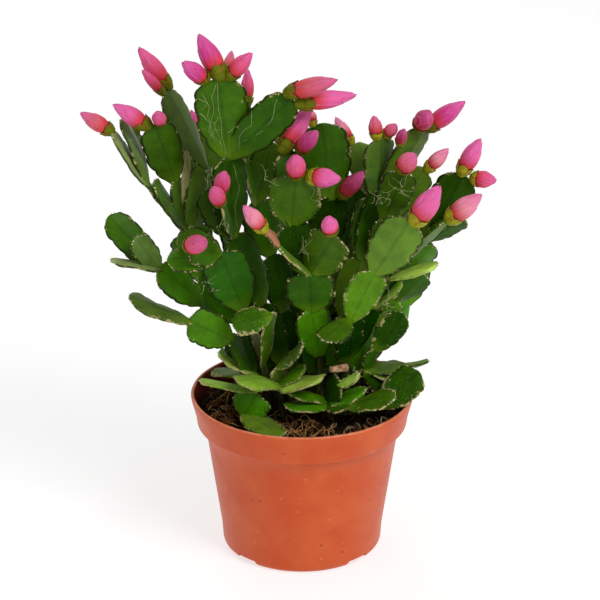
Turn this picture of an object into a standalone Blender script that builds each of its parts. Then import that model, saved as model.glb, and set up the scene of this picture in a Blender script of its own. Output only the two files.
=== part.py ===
"""A potted easter cactus: flat, scalloped stem segments in branching shoots, closed flower buds on their tips, potting
soil with the shoots standing in it, and a thin plastic nursery pot. Metres, +Z up. The origin is on the pot's axis, on
the plane that the pot stands on, and -Y is the front.

Joints of the shoots are laid out as they are seen from an eye point in front of the plant: across and up on the upright
plane through the pot's axis, and near, the distance that the joint lies towards the eye from that plane."""

import math

import bmesh
import bpy
from mathutils import Matrix, Vector

MM = 0.001
EYE = Vector((-1.1, -1122, 594))  # millimetres, the point that the shoots are laid out from
GAP = 0.35  # millimetres, between pieces that touch on the real plant

# Pot, in millimetres
POT_HEIGHT = 89.2
RIM_RADIUS = 60.4
BAND_FOOT_RADIUS = 57.3
BAND_HEIGHT = 17.7
BODY_TOP_RADIUS = 52.6
BODY_FOOT_RADIUS = 43.2
BASE_RADIUS = 41.6
CORNER_HEIGHT = 3.0
LIP_EASE = 0.7
LIP_DROP = 1.4
SHOULDER_STEP = 2.0
SHOULDER_DROP = 1.6
WALL = 1.2
LIP = 1.9
HEEL = 2.0
FOOT_RING_WIDTH = 2.6
FOOT_HEIGHT = 3.4
PAD_RADIUS = 13.0
POT_SIDES = 36
NOTCHES = 4
NOTCH_WIDTH = 17.0
NOTCH_REACH = 12.0
NOTCH_TURN = 45
DRAIN_RADIUS = 3.6
DRAIN_CIRCLE = 27.0
DRAIN_HOLES = 6
DRAIN_SIDES = 8
DRAIN_CUT = 20.0
SHARP_ANGLE = 35

# Soil, in millimetres
SOIL_TOP = 77.0
SOIL_RINGS = (54.9, 42, 24)
SOIL_SIDES = 18
SOIL_LUMP = 1.5
SOIL_MOUND = 5.5
MOUND_AT = (-44, 8)
MOUND_REACH = 15.0

# Stem segments: share of the length, half width as a share of the full half width, half thickness in millimetres
SEGMENT_STATIONS = (
    (0.00, 0.20, 0.7),
    (0.15, 0.60, 1.4),
    (0.31, 0.81, 1.7),
    (0.48, 1.00, 1.7),
    (0.60, 0.94, 1.6),
    (0.77, 1.00, 1.5),
    (0.92, 0.80, 1.3),
    (1.00, 0.50, 1.2),
)
SEGMENT_SINK = 2.2
SHIFT_ALONG_TIP = 2.0
ARCH = 1.0
ARCH_STEP = 2.4
FLAT_WITHIN = 4

# Woody feet of the shoots, in millimetres
FOOT_END = 62.0
FOOT_RADIUS = 3.4
FOOT_TOP_RADIUS = 2.4
FOOT_SIDES = 6

# Buds: share of the length, radius as a share of the girth radius
RECEPTACLE_SHARE = 0.24
RECEPTACLE_STATIONS = ((0.0, 0.44), (1.0, 0.88))
RECEPTACLE_SIDES = 5
RECEPTACLE_SINK = 1.6
SIDE_SEAT = 0.9
TEPAL_STATIONS = ((0.0, 0.90), (0.32, 1.0), (0.72, 0.62), (1.0, 0.12))
TEPAL_SIDES = 8
TEPAL_STEP = 0.91
TEPAL_TWIST = 34

# Each shoot: foot (x, y) in the soil, top of its woody foot, then its segments and its buds.
# A segment: name, what it grows from, then its tip (across, height, near), its width and its turn. The tip and width are
# in millimetres. At a turn of 0 degrees it shows its full face to the eye, and at 90 its edge. Names count up a branch.
# A bud: what it grows from, the place on it (share of its length, share of its half width), its tip, and its girth.
SHOOTS = {
    "shoot_left_crown": {
        "foot": (-10, 15),
        "top": (-16, 104, -16),
        "segments": (
            ("u0", "top", -30, 131, -28, 20, 40),
            ("u1", "u0", -54, 156, -26, 22, 20),
            ("u2", "u1", -60, 181.5, -16, 24, 0),
            ("a1", "u2", -80.7, 206.9, -4, 21, 78),
            ("a1b", "u2", -77.5, 208, 8, 17, 66),
            ("a2", "a1", -99, 236.5, -2, 22, 76),
            ("a3", "a1", -93.5, 243.5, -12, 21, 73),
            ("b1", "u2", -67, 210.5, -14, 22, 65),
            ("b2", "b1", -76.5, 240.5, -3, 21, 8),
            ("b3", "b1", -86, 235, -42, 18, 70),
            ("c0", "u2", -60.5, 226, -20, 8, 50),
            ("c1", "u2", -50.4, 218.5, -32, 23, 48),
            ("c2", "c1", -70.2, 258.5, -34, 24, 56),
        ),
        "buds": (
            ("a2", 1, 0, -115, 247, 0, 8.6),
            ("b2", 1, -0.6, -98, 251.5, 0, 9.4),
            ("b2", 1, 0.7, -75.5, 246, 8, 7.4),
            ("b3", 1, 0, -93, 243.5, -50, 7),
            ("c2", 1, 0.6, -84, 282, -34, 9.8),
            ("c2", 1, -0.6, -82.5, 270, -24, 5.8),
        ),
    },
    "shoot_left_arm": {
        "foot": (-24, 2),
        "top": (-27, 99, 2),
        "segments": (
            ("w0", "top", -39, 120, 10, 18, 60),
            ("w1", "w0", -61, 130.3, 18, 20, 0),
            ("w2", "w1", -92.5, 144.4, 20, 22, 68),
            ("ad", "top", -45, 110.5, 6, 22, 72),
            ("x1", "top", -38, 121.5, -4, 17, 30),
            ("v0", "x1", -54.5, 141.5, -6, 20, 70),
            ("v1", "v0", -76.6, 160.2, 4, 18.5, 25),
            ("v2", "v1", -88, 177.8, 16, 13.5, 10),
            ("v3", "v1", -102, 190, 0, 16.8, 5),
            ("v4", "v1", -101.5, 165, 10, 22, 80),
            ("ae", "top", -46.5, 101.5, -14, 20, 76),
        ),
        "buds": (),
    },
    "shoot_left_mid": {
        "foot": (-15, 1),
        "top": (-21, 104, 0),
        "segments": (
            ("t1", "top", -32, 138, 12, 10, 60),
            ("t2", "t1", -43.5, 169, 22, 26, 3),
            ("t3", "t2", -65, 178.5, 12, 17.5, 10),
            ("t4", "t2", -60.5, 171.5, 31, 17, 13),
            ("u3", "t2", -71.5, 164.5, 26, 20, 50),
            ("aa", "top", -17.5, 133.5, 28, 16, 68),
            ("z1", "aa", -37, 127.5, 26, 15, 20),
        ),
        "buds": (("t4", 1, 0.3, -51, 175.6, 56, 9.8),),
    },
    "shoot_tall": {
        "foot": (-3, 7),
        "top": (-10, 104, -6),
        "segments": (
            ("d0", "top", -21, 140, -14, 19, 35),
            ("d1", "d0", -37, 179, -6, 23, 32),
            ("d3", "d1", -38.5, 223, 4, 23, 34),
            ("d7", "d1", -48.5, 206, -16, 22, 14),
            ("d3b", "d1", -43, 200.5, 17, 16, 78),
            ("d4", "d3", -43.4, 265, 8, 28.4, 0),
            ("d5", "d3", -5.5, 254.5, 16, 21, 5),
            ("d6", "d3", -28.5, 251, -10, 20, 30),
        ),
        "buds": (
            ("d4", 1, 0.3, -53.2, 289, 0, 11),
            ("d4", 1, -0.88, -61.5, 274, 26, 9),
            ("d4", 1, 0.6, -36, 280, -16, 6),
            ("d4", 1, 0.8, -25.5, 279, 12, 8.6),
            ("d6", 1, 0, -28, 270.5, -14, 7),
            ("d5", 1, -0.7, 18.5, 264.5, 30, 9.6),
            ("d5", 1, 0.8, 28.5, 256.5, 6, 9.4),
            ("d3b", 1, 0.7, -40.6, 215, 30, 8.4),
            ("d3b", 1, -1, -46.6, 206, 36, 8.4),
        ),
    },
    "shoot_mid_back": {
        "foot": (1, 17),
        "top": (-4, 101, -18),
        "segments": (
            ("e0", "top", -10, 136, -28, 20, 30),
            ("e1", "e0", -15.8, 168.5, -32, 21, 35),
            ("e2", "e1", -25.2, 198, -22, 22, 22),
            ("e3", "e2", -29.5, 228, -24, 20, 75),
            ("g1", "e2", -16, 231, -26, 19, 15),
        ),
        "buds": (),
    },
    "shoot_centre": {
        "foot": (9, 2),
        "top": (9.5, 110, -2),
        "segments": (
            ("r1", "top", 4.5, 137, 22, 20, 12),
            ("r2", "r1", 4.3, 158.2, 26, 26.5, 0),
            ("r3", "r2", 17, 179, 42, 24, 0),
            ("s1", "r2", -13, 173, 40, 18, 82),
            ("s2", "s1", -20, 182, 42, 8, 60),
            ("f2", "r2", -6, 186, 20, 21, 10),
            ("f3", "f2", -3, 212.5, 24, 28.5, 0),
            ("f3b", "f2", -6, 226, 6, 20, 25),
        ),
        "buds": (
            ("r3", 1, -0.3, 13.6, 190, 46, 8.8),
            ("s2", 1, 0, -31, 196, 48, 8.6),
            ("f3", 1, 0, -3.5, 223.5, 38, 10),
            ("f3", 1, 0.9, 20.5, 210.5, 34, 10),
            ("f3b", 1, -1, 5, 252, 0, 10.6),
            ("f3b", 1, 1, 8, 237, 32, 8.4),
        ),
    },
    "shoot_centre_back": {
        "foot": (7, 10),
        "top": (6, 100, -14),
        "segments": (
            ("h0", "top", 9, 134, -16, 20, 20),
            ("h1", "h0", 12, 168, -12, 22, 30),
            ("h2", "h1", 15, 201, -6, 22, 20),
            ("h3", "h2", 10, 241, -10, 27, 5),
            ("h4", "h0", 23, 165, -34, 22, 10),
            ("h6", "top", 20, 139, -26, 18, 10),
            ("h5", "h4", 31, 212.5, -37, 23, -8),
        ),
        "buds": (
            ("h2", 1, 1, 32.5, 214.5, 8, 9),
            ("h3", 1, -0.7, 4, 249, -14, 6),
        ),
    },
    "shoot_right_back": {
        "foot": (16, 13),
        "top": (18, 102, -14),
        "segments": (
            ("j0", "top", 22, 133, -10, 20, 30),
            ("j1", "j0", 31, 167, -8, 21, 20),
            ("j2", "j1", 39, 201, -12, 22, 25),
            ("i1", "j2", 29, 230.5, -28, 20, 35),
            ("jj", "j2", 40.5, 233.5, -8, 22, 45),
            ("k1", "j1", 43.5, 205, -10, 21, 40),
            ("k2", "k1", 63, 238.5, -12, 22, 54),
        ),
        "buds": (
            ("i1", 1, -0.8, 17, 244.5, -32, 7),
            ("jj", 1, -0.4, 37, 245.5, -8, 7.4),
            ("jj", 1, 0.8, 49, 240.5, -6, 6.8),
            ("k2", 1, 0.4, 84.5, 253, -10, 9.8),
            ("k2", 1, -0.7, 66, 247.5, 4, 10),
            ("k2", 0.7, -1, 53, 238, 6, 6),
        ),
    },
    "shoot_right": {
        "foot": (25, 10),
        "top": (29, 102, -10),
        "segments": (
            ("m0", "top", 35, 128.5, -12, 20, 36),
            ("m1", "m0", 50, 152.5, -18, 21, 36),
            ("m2", "m1", 66, 177, -12, 22, 24),
            ("m3", "m2", 84, 213.3, -4, 23, 12),
            ("m4", "m2", 85.5, 188.7, 0, 14.5, 38),
            ("l0", "m1", 43, 189, 4, 21, 15),
            ("l1", "l0", 53, 215, 16, 19, 15),
            ("l2", "l0", 64, 216.5, 0, 19, 20),
            ("o1", "m1", 67.7, 173.5, 3, 17, 39),
            ("ba7", "m0", 51, 142.5, -10, 15.5, 34),
            ("ba2", "ba7", 64.3, 157.3, -2, 17, 40),
        ),
        "buds": (
            ("l1", 1, -0.3, 59, 224.5, 24, 10),
            ("l2", 1, 0.3, 76.5, 227.5, 2, 7.6),
            ("m3", 1, -0.15, 93, 233, 0, 9.6),
            ("m3", 1, 1, 102, 209.7, 2, 9),
        ),
    },
    "shoot_right_front": {
        "foot": (19, 2),
        "top": (24, 106, 1),
        "segments": (
            ("p00", "top", 26, 131, 24, 19, 40),
            ("p0", "p00", 38.5, 158.5, 32.5, 19.5, 18),
            ("p1", "p0", 56.8, 187.5, 42, 25, 8),
            ("q1", "p00", 12, 118.5, 42, 16, 35),
            ("n00", "top", 39, 139, 12, 20, 60),
            ("n0", "n00", 47, 155, 16, 18, 60),
            ("n1", "n0", 77, 187.5, 18, 22, 80),
            ("ba1", "n0", 70, 160.5, 34, 22, -75),
            ("ba4", "n00", 53, 151, 20, 17, -70),
        ),
        "buds": (
            ("p1", 1, 0.45, 72.5, 207, 50, 12),
            ("n1", 1, 0, 94.5, 202.3, 22, 10.8),
        ),
    },
    "shoot_right_low": {
        "foot": (28, -2),
        "top": (35, 101, 2),
        "segments": (
            ("av0", "top", 39.2, 114, 2, 11, 56),
            ("av", "av0", 53.8, 134.8, -2, 17, 32),
            ("as", "top", 56, 104.5, -8, 20, -66),
            ("at", "top", 51, 97, -2, 20, -72),
            ("ax", "top", 46, 87.5, 10, 18, -55),
            ("ar", "as", 68, 107, -16, 9, -84),
        ),
        "buds": (),
    },
    "shoot_skirt_left": {
        "foot": (-22, -20),
        "top": (-31, 75, 20),
        "segments": (
            ("ak", "top", -24.5, 87.5, 20, 21, 0),
            ("af", "ak", -55, 95.5, 10, 20, 80),
            ("al", "top", -12, 61.5, 44, 20, -54),
        ),
        "buds": (),
    },
    "shoot_skirt_front": {
        "foot": (-7, -8),
        "top": (-13, 93, 9),
        "segments": (
            ("ag", "top", -34, 93.7, 36, 19, 64),
            ("ah", "top", 9.5, 95, 32, 20, -66),
            ("ai", "top", 1.5, 101.5, 14, 18, -70),
            ("ac0", "top", -13.5, 103, 16, 10, 40),
            ("ac", "ac0", 0.5, 116, 24, 12, -62),
        ),
        "buds": (),
    },
    "shoot_skirt_right": {
        "foot": (13, -9),
        "top": (13.5, 83, 7),
        "segments": (
            ("aj1", "top", -6.5, 87, 21, 15, 70),
            ("aj2", "top", -6, 77.5, 30, 20, 64),
            ("ao", "top", 26, 79, 32, 17, -50),
            ("an0", "top", 21, 93.5, 20, 17, -42),
            ("an", "an0", 31, 98.3, 26, 9, -50),
            ("ap", "ao", 50.5, 84.5, 42, 21, -63),
            ("ao2", "top", 33, 87, 26, 19, -64),
            ("au", "top", 43, 80, 24, 18, -50),
            ("aq", "au", 63.8, 100, 19, 19, -12),
        ),
        "buds": (),
    },
    "shoot_back_left": {
        "foot": (-12, 26),
        "top": (-16, 98, -30),
        "segments": (
            ("bl0", "top", -26, 128, -38, 21, 20),
            ("bl1", "bl0", -34, 160, -44, 22, 55),
            ("bl2", "bl1", -44, 196, -48, 23, 64),
            ("bl3", "bl2", -53, 233, -60, 22, 30),
            ("bl4", "bl0", -52, 152, -56, 22, 30),
            ("bl5", "bl4", -58, 186, -66, 22, 20),
            ("bl6", "top", -42, 112, -44, 20, 60),
        ),
        "buds": (
            ("bl3", 1, 0, -57.5, 248.5, -66, 7),
            ("bl5", 1, 0, -59, 201, -76, 9),
        ),
    },
    "shoot_back_mid": {
        "foot": (4, 28),
        "top": (4, 97, -36),
        "segments": (
            ("bm0", "top", 2, 128, -48, 21, 70),
            ("bm1", "bm0", -6, 162, -58, 22, 0),
            ("bm2", "bm1", -14, 198, -50, 23, 70),
            ("bm3", "bm1", 14, 194, -70, 22, -60),
            ("bm4", "bm3", 16, 230, -58, 22, -30),
            ("bm5", "bm0", 16, 148, -80, 20, 40),
            ("bm6", "top", 25, 117, -56, 20, -50),
            ("bm7", "bm2", -10, 230, -66, 21, 40),
            ("bm8", "bm5", 30, 178, -92, 21, -50),
        ),
        "buds": (
            ("bm7", 1, 0, -14, 244, -72, 9),
            ("bm8", 1, 0, 35, 191, -102, 9),
        ),
    },
    "shoot_back_right": {
        "foot": (20, 23),
        "top": (26, 98, -26),
        "segments": (
            ("br0", "top", 36, 128, -34, 21, 10),
            ("br1", "br0", 48, 160, -38, 22, -55),
            ("br2", "br1", 59, 196, -36, 23, -62),
            ("br3", "br1", 44, 190, -62, 22, 40),
            ("br4", "br0", 57, 140, -56, 20, 30),
            ("br5", "top", 42, 119.5, -50, 20, -60),
            ("br6", "br4", 61, 171, -70, 20, 10),
        ),
        "buds": (("br3", 1, 0, 42, 203, -74, 9),),
    },
}


def seen(across, height, near):
    """The point, in metres, that lies near millimetres towards the eye from (across, height) on the upright plane."""
    on_plane = Vector((across, 0, height))
    return (on_plane + (EYE - on_plane).normalized() * near) * MM


def face_frame(base, tip, turn):
    """(axis, side, normal) of a flat segment: the normal is turned by so many degrees from its full face to the eye."""
    axis = (tip - base).normalized()
    sight = (EYE * MM - (base + tip) / 2).normalized()
    normal = (sight - axis * sight.dot(axis)).normalized()
    normal.rotate(Matrix.Rotation(math.radians(turn), 3, axis))
    return axis, axis.cross(normal), normal


class Segment:
    """Where one flat stem segment lies, and the places on it that others grow from."""

    def __init__(self, order, base, tip, width, turn, parent=None):
        aim = (tip - base).normalized()
        if parent:
            base = base + parent.side * aim.dot(parent.side) * SHIFT_ALONG_TIP * MM
        axis = (tip - base).normalized()
        self.base, self.tip = base - axis * SEGMENT_SINK * MM, tip
        self.axis, self.side, self.normal = face_frame(self.base, tip, turn)
        self.length = (self.tip - self.base).length
        self.half_width = width / 2 * MM
        self.arch = ARCH * MM * math.sin(ARCH_STEP * order)

    def at(self, along, across=0.0, above=0.0):
        """The point at this share of the length and of the half width, and this far above the face."""
        arch = self.arch * 4 * along * (1 - along)
        centre = self.base + self.axis * self.length * along
        return centre + self.side * self.half_width * across + self.normal * (above + arch)


def link(name, mesh, material=None):
    obj = bpy.data.objects.new(name, mesh)
    bpy.context.scene.collection.objects.link(obj)
    if material:
        mesh.materials.append(material)
    return obj


def material(name, colour, roughness):
    made = bpy.data.materials.new(name)
    made.use_nodes = True
    shader = made.node_tree.nodes["Principled BSDF"]
    shader.inputs["Base Color"].default_value = (*colour, 1)
    shader.inputs["Roughness"].default_value = roughness
    shader.inputs["Metallic"].default_value = 0
    return made


def loft(rings):
    """A closed mesh through rings of points, each with as many points as the others, with flat ends."""
    bm = bmesh.new()
    loops = [[bm.verts.new(point) for point in ring] for ring in rings]
    sides = len(loops[0])
    for low, high in zip(loops, loops[1:]):
        for i in range(sides):
            j = (i + 1) % sides
            bm.faces.new((low[i], low[j], high[j], high[i]))
    bm.faces.new(loops[0][::-1])
    bm.faces.new(loops[-1])
    bmesh.ops.recalc_face_normals(bm, faces=bm.faces)
    mesh = bpy.data.meshes.new("loft")
    bm.to_mesh(mesh)
    bm.free()
    return mesh


def circle(centre, axis, radius, sides, turn=0.0, steps=(1.0,)):
    """Points round an axis. steps are shares of the radius that the points take in turn."""
    first = axis.orthogonal().normalized()
    second = axis.cross(first)
    points = []
    for i in range(sides):
        angle = 2 * math.pi * i / sides + math.radians(turn)
        reach = radius * steps[i % len(steps)]
        points.append(centre + (first * math.cos(angle) + second * math.sin(angle)) * reach)
    return points


def segment_mesh(segment):
    """A blade with a scalloped outline and a low midrib on both faces."""
    rings = []
    for along, share, thickness in SEGMENT_STATIONS:
        rings.append(
            (
                segment.at(along, -share),
                segment.at(along, 0, thickness * MM),
                segment.at(along, share),
                segment.at(along, 0, -thickness * MM),
            )
        )
    return loft(rings)


def foot_mesh(foot, top, spare=0.0):
    """The woody foot of a shoot, from inside the soil to its first joint. spare makes it thicker, for its hole."""
    axis = (top - foot).normalized()
    low = foot - axis * spare
    return loft(
        (
            circle(low, axis, FOOT_RADIUS * MM + spare, FOOT_SIDES),
            circle(top, axis, FOOT_TOP_RADIUS * MM + spare, FOOT_SIDES),
        )
    )


def turned_rings(base, tip, stations, girth, sides, twist=0.0, steps=(1.0,)):
    axis = (tip - base).normalized()
    rings = []
    for along, share in stations:
        centre = base.lerp(tip, along)
        rings.append(circle(centre, axis, girth / 2 * MM * share, sides, twist * along, steps))
    return rings


def bud_places(segment, along, across, tip):
    """(start inside the segment, end of the receptacle, start of the tepals, tip) of a bud."""
    seat = SEGMENT_STATIONS[-1][1] if along == 1 else SIDE_SEAT
    start = segment.at(along, across * seat)
    axis = (tip - start).normalized()
    shoulder = start + axis * (tip - start).length * RECEPTACLE_SHARE
    return start - axis * RECEPTACLE_SINK * MM, shoulder, shoulder + axis * GAP * MM, tip


def grow(shoot, order):
    """The segments of one shoot by name, each where the layout puts it."""
    grown = {}
    for name, parent, across, height, near, width, turn in shoot["segments"]:
        source = grown.get(parent)
        base = source.tip if source else seen(*shoot["top"])
        grown[name] = Segment(order, base, seen(across, height, near), width, turn, source)
        order += 1
    return grown


def foot_ends(shoot):
    x, y = shoot["foot"]
    return Vector((x, y, FOOT_END)) * MM, seen(*shoot["top"])


def fuse(name, meshes, finish):
    """One solid from meshes that run into each other."""
    body, *others = [link(f"{name}_{i}", mesh) for i, mesh in enumerate(meshes)]
    body.name = name
    body.data.materials.append(finish)
    if others:
        group = bpy.data.collections.new(name)
        bpy.context.scene.collection.children.link(group)
        for other in others:
            bpy.context.scene.collection.objects.unlink(other)
            group.objects.link(other)
        union = body.modifiers.new("Union", "BOOLEAN")
        union.operation, union.operand_type = "UNION", "COLLECTION"
        union.collection, union.solver = group, "MANIFOLD"
        bpy.context.view_layer.objects.active = body
        bpy.ops.object.modifier_apply(modifier=union.name)
        for other in others:
            bpy.data.objects.remove(other)
        bpy.data.collections.remove(group)
    thinner = body.modifiers.new("Decimate", "DECIMATE")
    thinner.decimate_type, thinner.angle_limit = "DISSOLVE", math.radians(FLAT_WITHIN)
    bpy.context.view_layer.objects.active = body
    bpy.ops.object.modifier_apply(modifier=thinner.name)
    return body


def cut(body, cutters):
    """Cuts the cutters out of the body, for good."""
    for cutter in cutters:
        cutter.hide_render, cutter.display_type = True, "WIRE"
        hole = body.modifiers.new("Cut", "BOOLEAN")
        hole.operation, hole.object, hole.solver = "DIFFERENCE", cutter, "EXACT"
        bpy.context.view_layer.objects.active = body
        bpy.ops.object.modifier_apply(modifier=hole.name)
        bpy.data.objects.remove(cutter)


def pot_profile():
    """(radius, height) points up the outside and over the lip, then down the inside to the floor."""
    band_foot = POT_HEIGHT - BAND_HEIGHT
    floor = FOOT_HEIGHT + WALL
    ring_inside = BASE_RADIUS - FOOT_RING_WIDTH
    outside = [
        (PAD_RADIUS, 0),
        (PAD_RADIUS + 1, FOOT_HEIGHT),
        (ring_inside - 1, FOOT_HEIGHT),
        (ring_inside, 0),
        (BASE_RADIUS, 0),
        (BODY_FOOT_RADIUS, CORNER_HEIGHT),
        (BODY_TOP_RADIUS, band_foot - SHOULDER_DROP),
        (BODY_TOP_RADIUS + SHOULDER_STEP, band_foot - SHOULDER_DROP / 2),
        (BAND_FOOT_RADIUS, band_foot + SHOULDER_DROP / 2),
        (RIM_RADIUS, POT_HEIGHT - LIP_DROP),
        (RIM_RADIUS - LIP_EASE, POT_HEIGHT),
    ]
    inside = [
        (RIM_RADIUS - LIP, POT_HEIGHT),
        (BAND_FOOT_RADIUS - LIP, band_foot + SHOULDER_DROP),
        (BODY_TOP_RADIUS - WALL, band_foot),
        (BODY_FOOT_RADIUS - WALL, floor + HEEL),
        (BODY_FOOT_RADIUS - WALL - HEEL, floor),
    ]
    return outside, inside


def turned_mesh(profile, sides):
    """A solid turned from (radius, height) points in millimetres, with discs across its two ends."""
    bm = bmesh.new()
    points = [bm.verts.new(Vector((radius, 0, height)) * MM) for radius, height in profile]
    edges = [bm.edges.new(pair) for pair in zip(points, points[1:])]
    bmesh.ops.spin(
        bm, geom=points + edges, cent=(0, 0, 0), axis=(0, 0, 1), angle=2 * math.pi, steps=sides, use_merge=True
    )
    bmesh.ops.remove_doubles(bm, verts=bm.verts, dist=1e-6)
    bmesh.ops.holes_fill(bm, edges=[e for e in bm.edges if e.is_boundary], sides=0)
    bmesh.ops.recalc_face_normals(bm, faces=bm.faces)
    mesh = bpy.data.meshes.new("turned")
    bm.to_mesh(mesh)
    bm.free()
    return mesh


def build_pot(finish):
    outside, inside = pot_profile()
    pot = link("pot", turned_mesh(outside + inside, POT_SIDES), finish)
    cutters = []
    for i in range(NOTCHES):
        bpy.ops.mesh.primitive_cube_add(size=1)
        notch = bpy.context.object
        angle = math.radians(NOTCH_TURN + 360 / NOTCHES * i)
        notch.scale = (NOTCH_REACH * MM, NOTCH_WIDTH * MM, 2 * FOOT_HEIGHT * MM)
        notch.location = Vector((math.cos(angle), math.sin(angle), 0)) * BASE_RADIUS * MM
        notch.rotation_euler.z = angle
        cutters.append(notch)
    for i in range(DRAIN_HOLES):
        angle = 2 * math.pi * (i + 0.5) / DRAIN_HOLES
        bpy.ops.mesh.primitive_cylinder_add(vertices=DRAIN_SIDES, radius=DRAIN_RADIUS * MM, depth=DRAIN_CUT * MM)
        drain = bpy.context.object
        drain.location = Vector((math.cos(angle), math.sin(angle), 0)) * DRAIN_CIRCLE * MM
        cutters.append(drain)
    bpy.context.view_layer.update()
    cut(pot, cutters)
    pot.data.shade_smooth()
    pot.data.set_sharp_from_angle(angle=math.radians(SHARP_ANGLE))
    return pot


def soil_height(x, y):
    """Height of the lumpy soil over a point, in millimetres."""
    lumps = math.sin(0.31 * x + 0.9) * math.cos(0.27 * y - 0.4) + 0.6 * math.sin(0.55 * x - 0.43 * y)
    mound = math.exp(-((x - MOUND_AT[0]) ** 2 + (y - MOUND_AT[1]) ** 2) / (2 * MOUND_REACH**2))
    return SOIL_TOP + SOIL_LUMP * lumps + SOIL_MOUND * mound


def build_soil(finish, feet):
    """The root ball: the pot's inside, a little smaller, with a lumpy top and a hole for each foot."""
    _, inside = pot_profile()
    _, shelf, step, heel, floor = inside
    wall = [
        (floor[0] - 1, floor[1] + GAP),
        (heel[0] - GAP, heel[1] + GAP),
        (step[0] - GAP, step[1] + GAP),
        (shelf[0] - GAP, shelf[1] + GAP),
    ]
    rings = []
    for radius, height in wall:
        rings.append(circle(Vector((0, 0, height)) * MM, Vector((0, 0, 1)), radius * MM, SOIL_SIDES))
    for radius in SOIL_RINGS:
        points = circle(Vector(), Vector((0, 0, 1)), radius * MM, SOIL_SIDES)
        for point in points:
            point.z = soil_height(point.x / MM, point.y / MM) * MM
        rings.append(points)
    soil = link("soil", loft(rings), finish)
    cut(soil, [link(f"hole_{i}", foot_mesh(*ends, GAP * MM)) for i, ends in enumerate(feet)])
    return soil


def main():
    for obj in list(bpy.data.objects):
        bpy.data.objects.remove(obj)
    plastic = material("pot_plastic", (0.62, 0.17, 0.07), 0.42)
    peat = material("peat", (0.06, 0.035, 0.022), 0.95)
    green = material("stem_green", (0.07, 0.18, 0.02), 0.42)
    pink = material("bud_pink", (0.80, 0.12, 0.30), 0.45)

    build_pot(plastic)
    build_soil(peat, [foot_ends(shoot) for shoot in SHOOTS.values()])
    order = 0
    bud_number = 0
    for name, shoot in SHOOTS.items():
        grown = grow(shoot, order)
        order += len(grown)
        meshes = [foot_mesh(*foot_ends(shoot))]
        meshes += [segment_mesh(segment) for segment in grown.values()]
        for parent, along, across, *tip_and_girth in shoot["buds"]:
            *tip, girth = tip_and_girth
            start, shoulder, collar, end = bud_places(grown[parent], along, across, seen(*tip))
            meshes.append(loft(turned_rings(start, shoulder, RECEPTACLE_STATIONS, girth, RECEPTACLE_SIDES)))
            bud_number += 1
            rings = turned_rings(
                collar, end, TEPAL_STATIONS, girth, TEPAL_SIDES, TEPAL_TWIST, (1.0, TEPAL_STEP)
            )
            link(f"bud_{bud_number:02d}", loft(rings), pink)
        fuse(name, meshes, green)


main()
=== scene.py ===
import math
import random
from functools import partial

import bmesh
import bpy
from mathutils import Matrix, Vector, noise


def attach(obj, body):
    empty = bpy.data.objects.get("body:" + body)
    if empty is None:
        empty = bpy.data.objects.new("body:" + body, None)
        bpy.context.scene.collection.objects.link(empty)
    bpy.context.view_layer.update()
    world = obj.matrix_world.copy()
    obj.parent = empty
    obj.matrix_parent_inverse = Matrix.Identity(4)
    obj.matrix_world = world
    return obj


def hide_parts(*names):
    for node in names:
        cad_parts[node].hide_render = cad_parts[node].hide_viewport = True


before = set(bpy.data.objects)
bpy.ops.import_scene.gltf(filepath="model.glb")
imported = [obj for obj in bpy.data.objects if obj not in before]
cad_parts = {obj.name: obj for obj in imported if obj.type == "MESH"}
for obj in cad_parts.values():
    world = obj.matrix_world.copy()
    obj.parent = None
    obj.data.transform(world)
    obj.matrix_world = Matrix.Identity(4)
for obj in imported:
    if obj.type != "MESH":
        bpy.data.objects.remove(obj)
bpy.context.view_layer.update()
mm = 0.001
smooth = {"interpolation_type": "SMOOTHSTEP"}

# The camera stands where the photo was taken from, and the floor and lights are a plain white studio.
view = {"place": (-0.0011, -1.122, 0.594), "tilt": 68.07, "lens": 135.66, "sensor": 36, "nearest": 0.01}
studio = {
    "floor": "#A6A6A6",
    "floorSize": 60.0,
    "floorRoughness": 0.9,
    "white": "#FFFFFF",
    "worldStrength": 0.50,
    "floorGlow": 0.66,
    "lamps": {  # where each stands, what it faces, its width and its power in watts
        "key": ((0.95, -1.15, 1.55), (0.0, 0.0, 0.15), 0.9, 24),
        "fill": ((-1.5, -1.0, 0.9), (0.0, 0.0, 0.12), 1.3, 2),
        "rim": ((-0.5, 1.4, 1.3), (0.0, 0.0, 0.15), 1.0, 6),
    },
}


def linear(hexCode):  # an sRGB hex colour as Blender's linear numbers
    parts = [int(hexCode[i : i + 2], 16) / 255 for i in (1, 3, 5)]
    return tuple(part / 12.92 if part <= 0.04045 else ((part + 0.055) / 1.055) ** 2.4 for part in parts) + (1.0,)


def fill(node, sockets):  # inputs as values, hex colours or links; a node stands for its first output
    for name, value in sockets.items() if isinstance(sockets, dict) else enumerate(sockets):
        if isinstance(value, bpy.types.Node):
            value = value.outputs[0]
        if isinstance(value, bpy.types.NodeSocket):
            node.id_data.links.new(value, node.inputs[name])
        else:
            node.inputs[name].default_value = linear(value) if isinstance(value, str) else value


def addNode(tree, kind, sockets=(), **settings):
    node = tree.nodes.new("ShaderNode" + kind)
    for name, value in settings.items():
        setattr(node, name, value)
    fill(node, sockets)
    return node


def newMaterial(name):  # an empty material, its shader, and addNode for its tree
    made = bpy.data.materials.new(name)
    made.use_nodes = True
    return made, made.node_tree.nodes["Principled BSDF"], partial(addNode, made.node_tree)


def linked(name, data):
    made = bpy.data.objects.new(name, data)
    bpy.context.scene.collection.objects.link(made)
    return made


def toObject(bm, name, finishes):  # a smooth object from a bmesh, with its faces turned outwards
    bmesh.ops.recalc_face_normals(bm, faces=bm.faces)
    mesh = bpy.data.meshes.new(name)
    bm.to_mesh(mesh)
    bm.free()
    for finish in finishes:
        mesh.materials.append(finish)
    mesh.shade_smooth()
    return linked(name, mesh)


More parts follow.
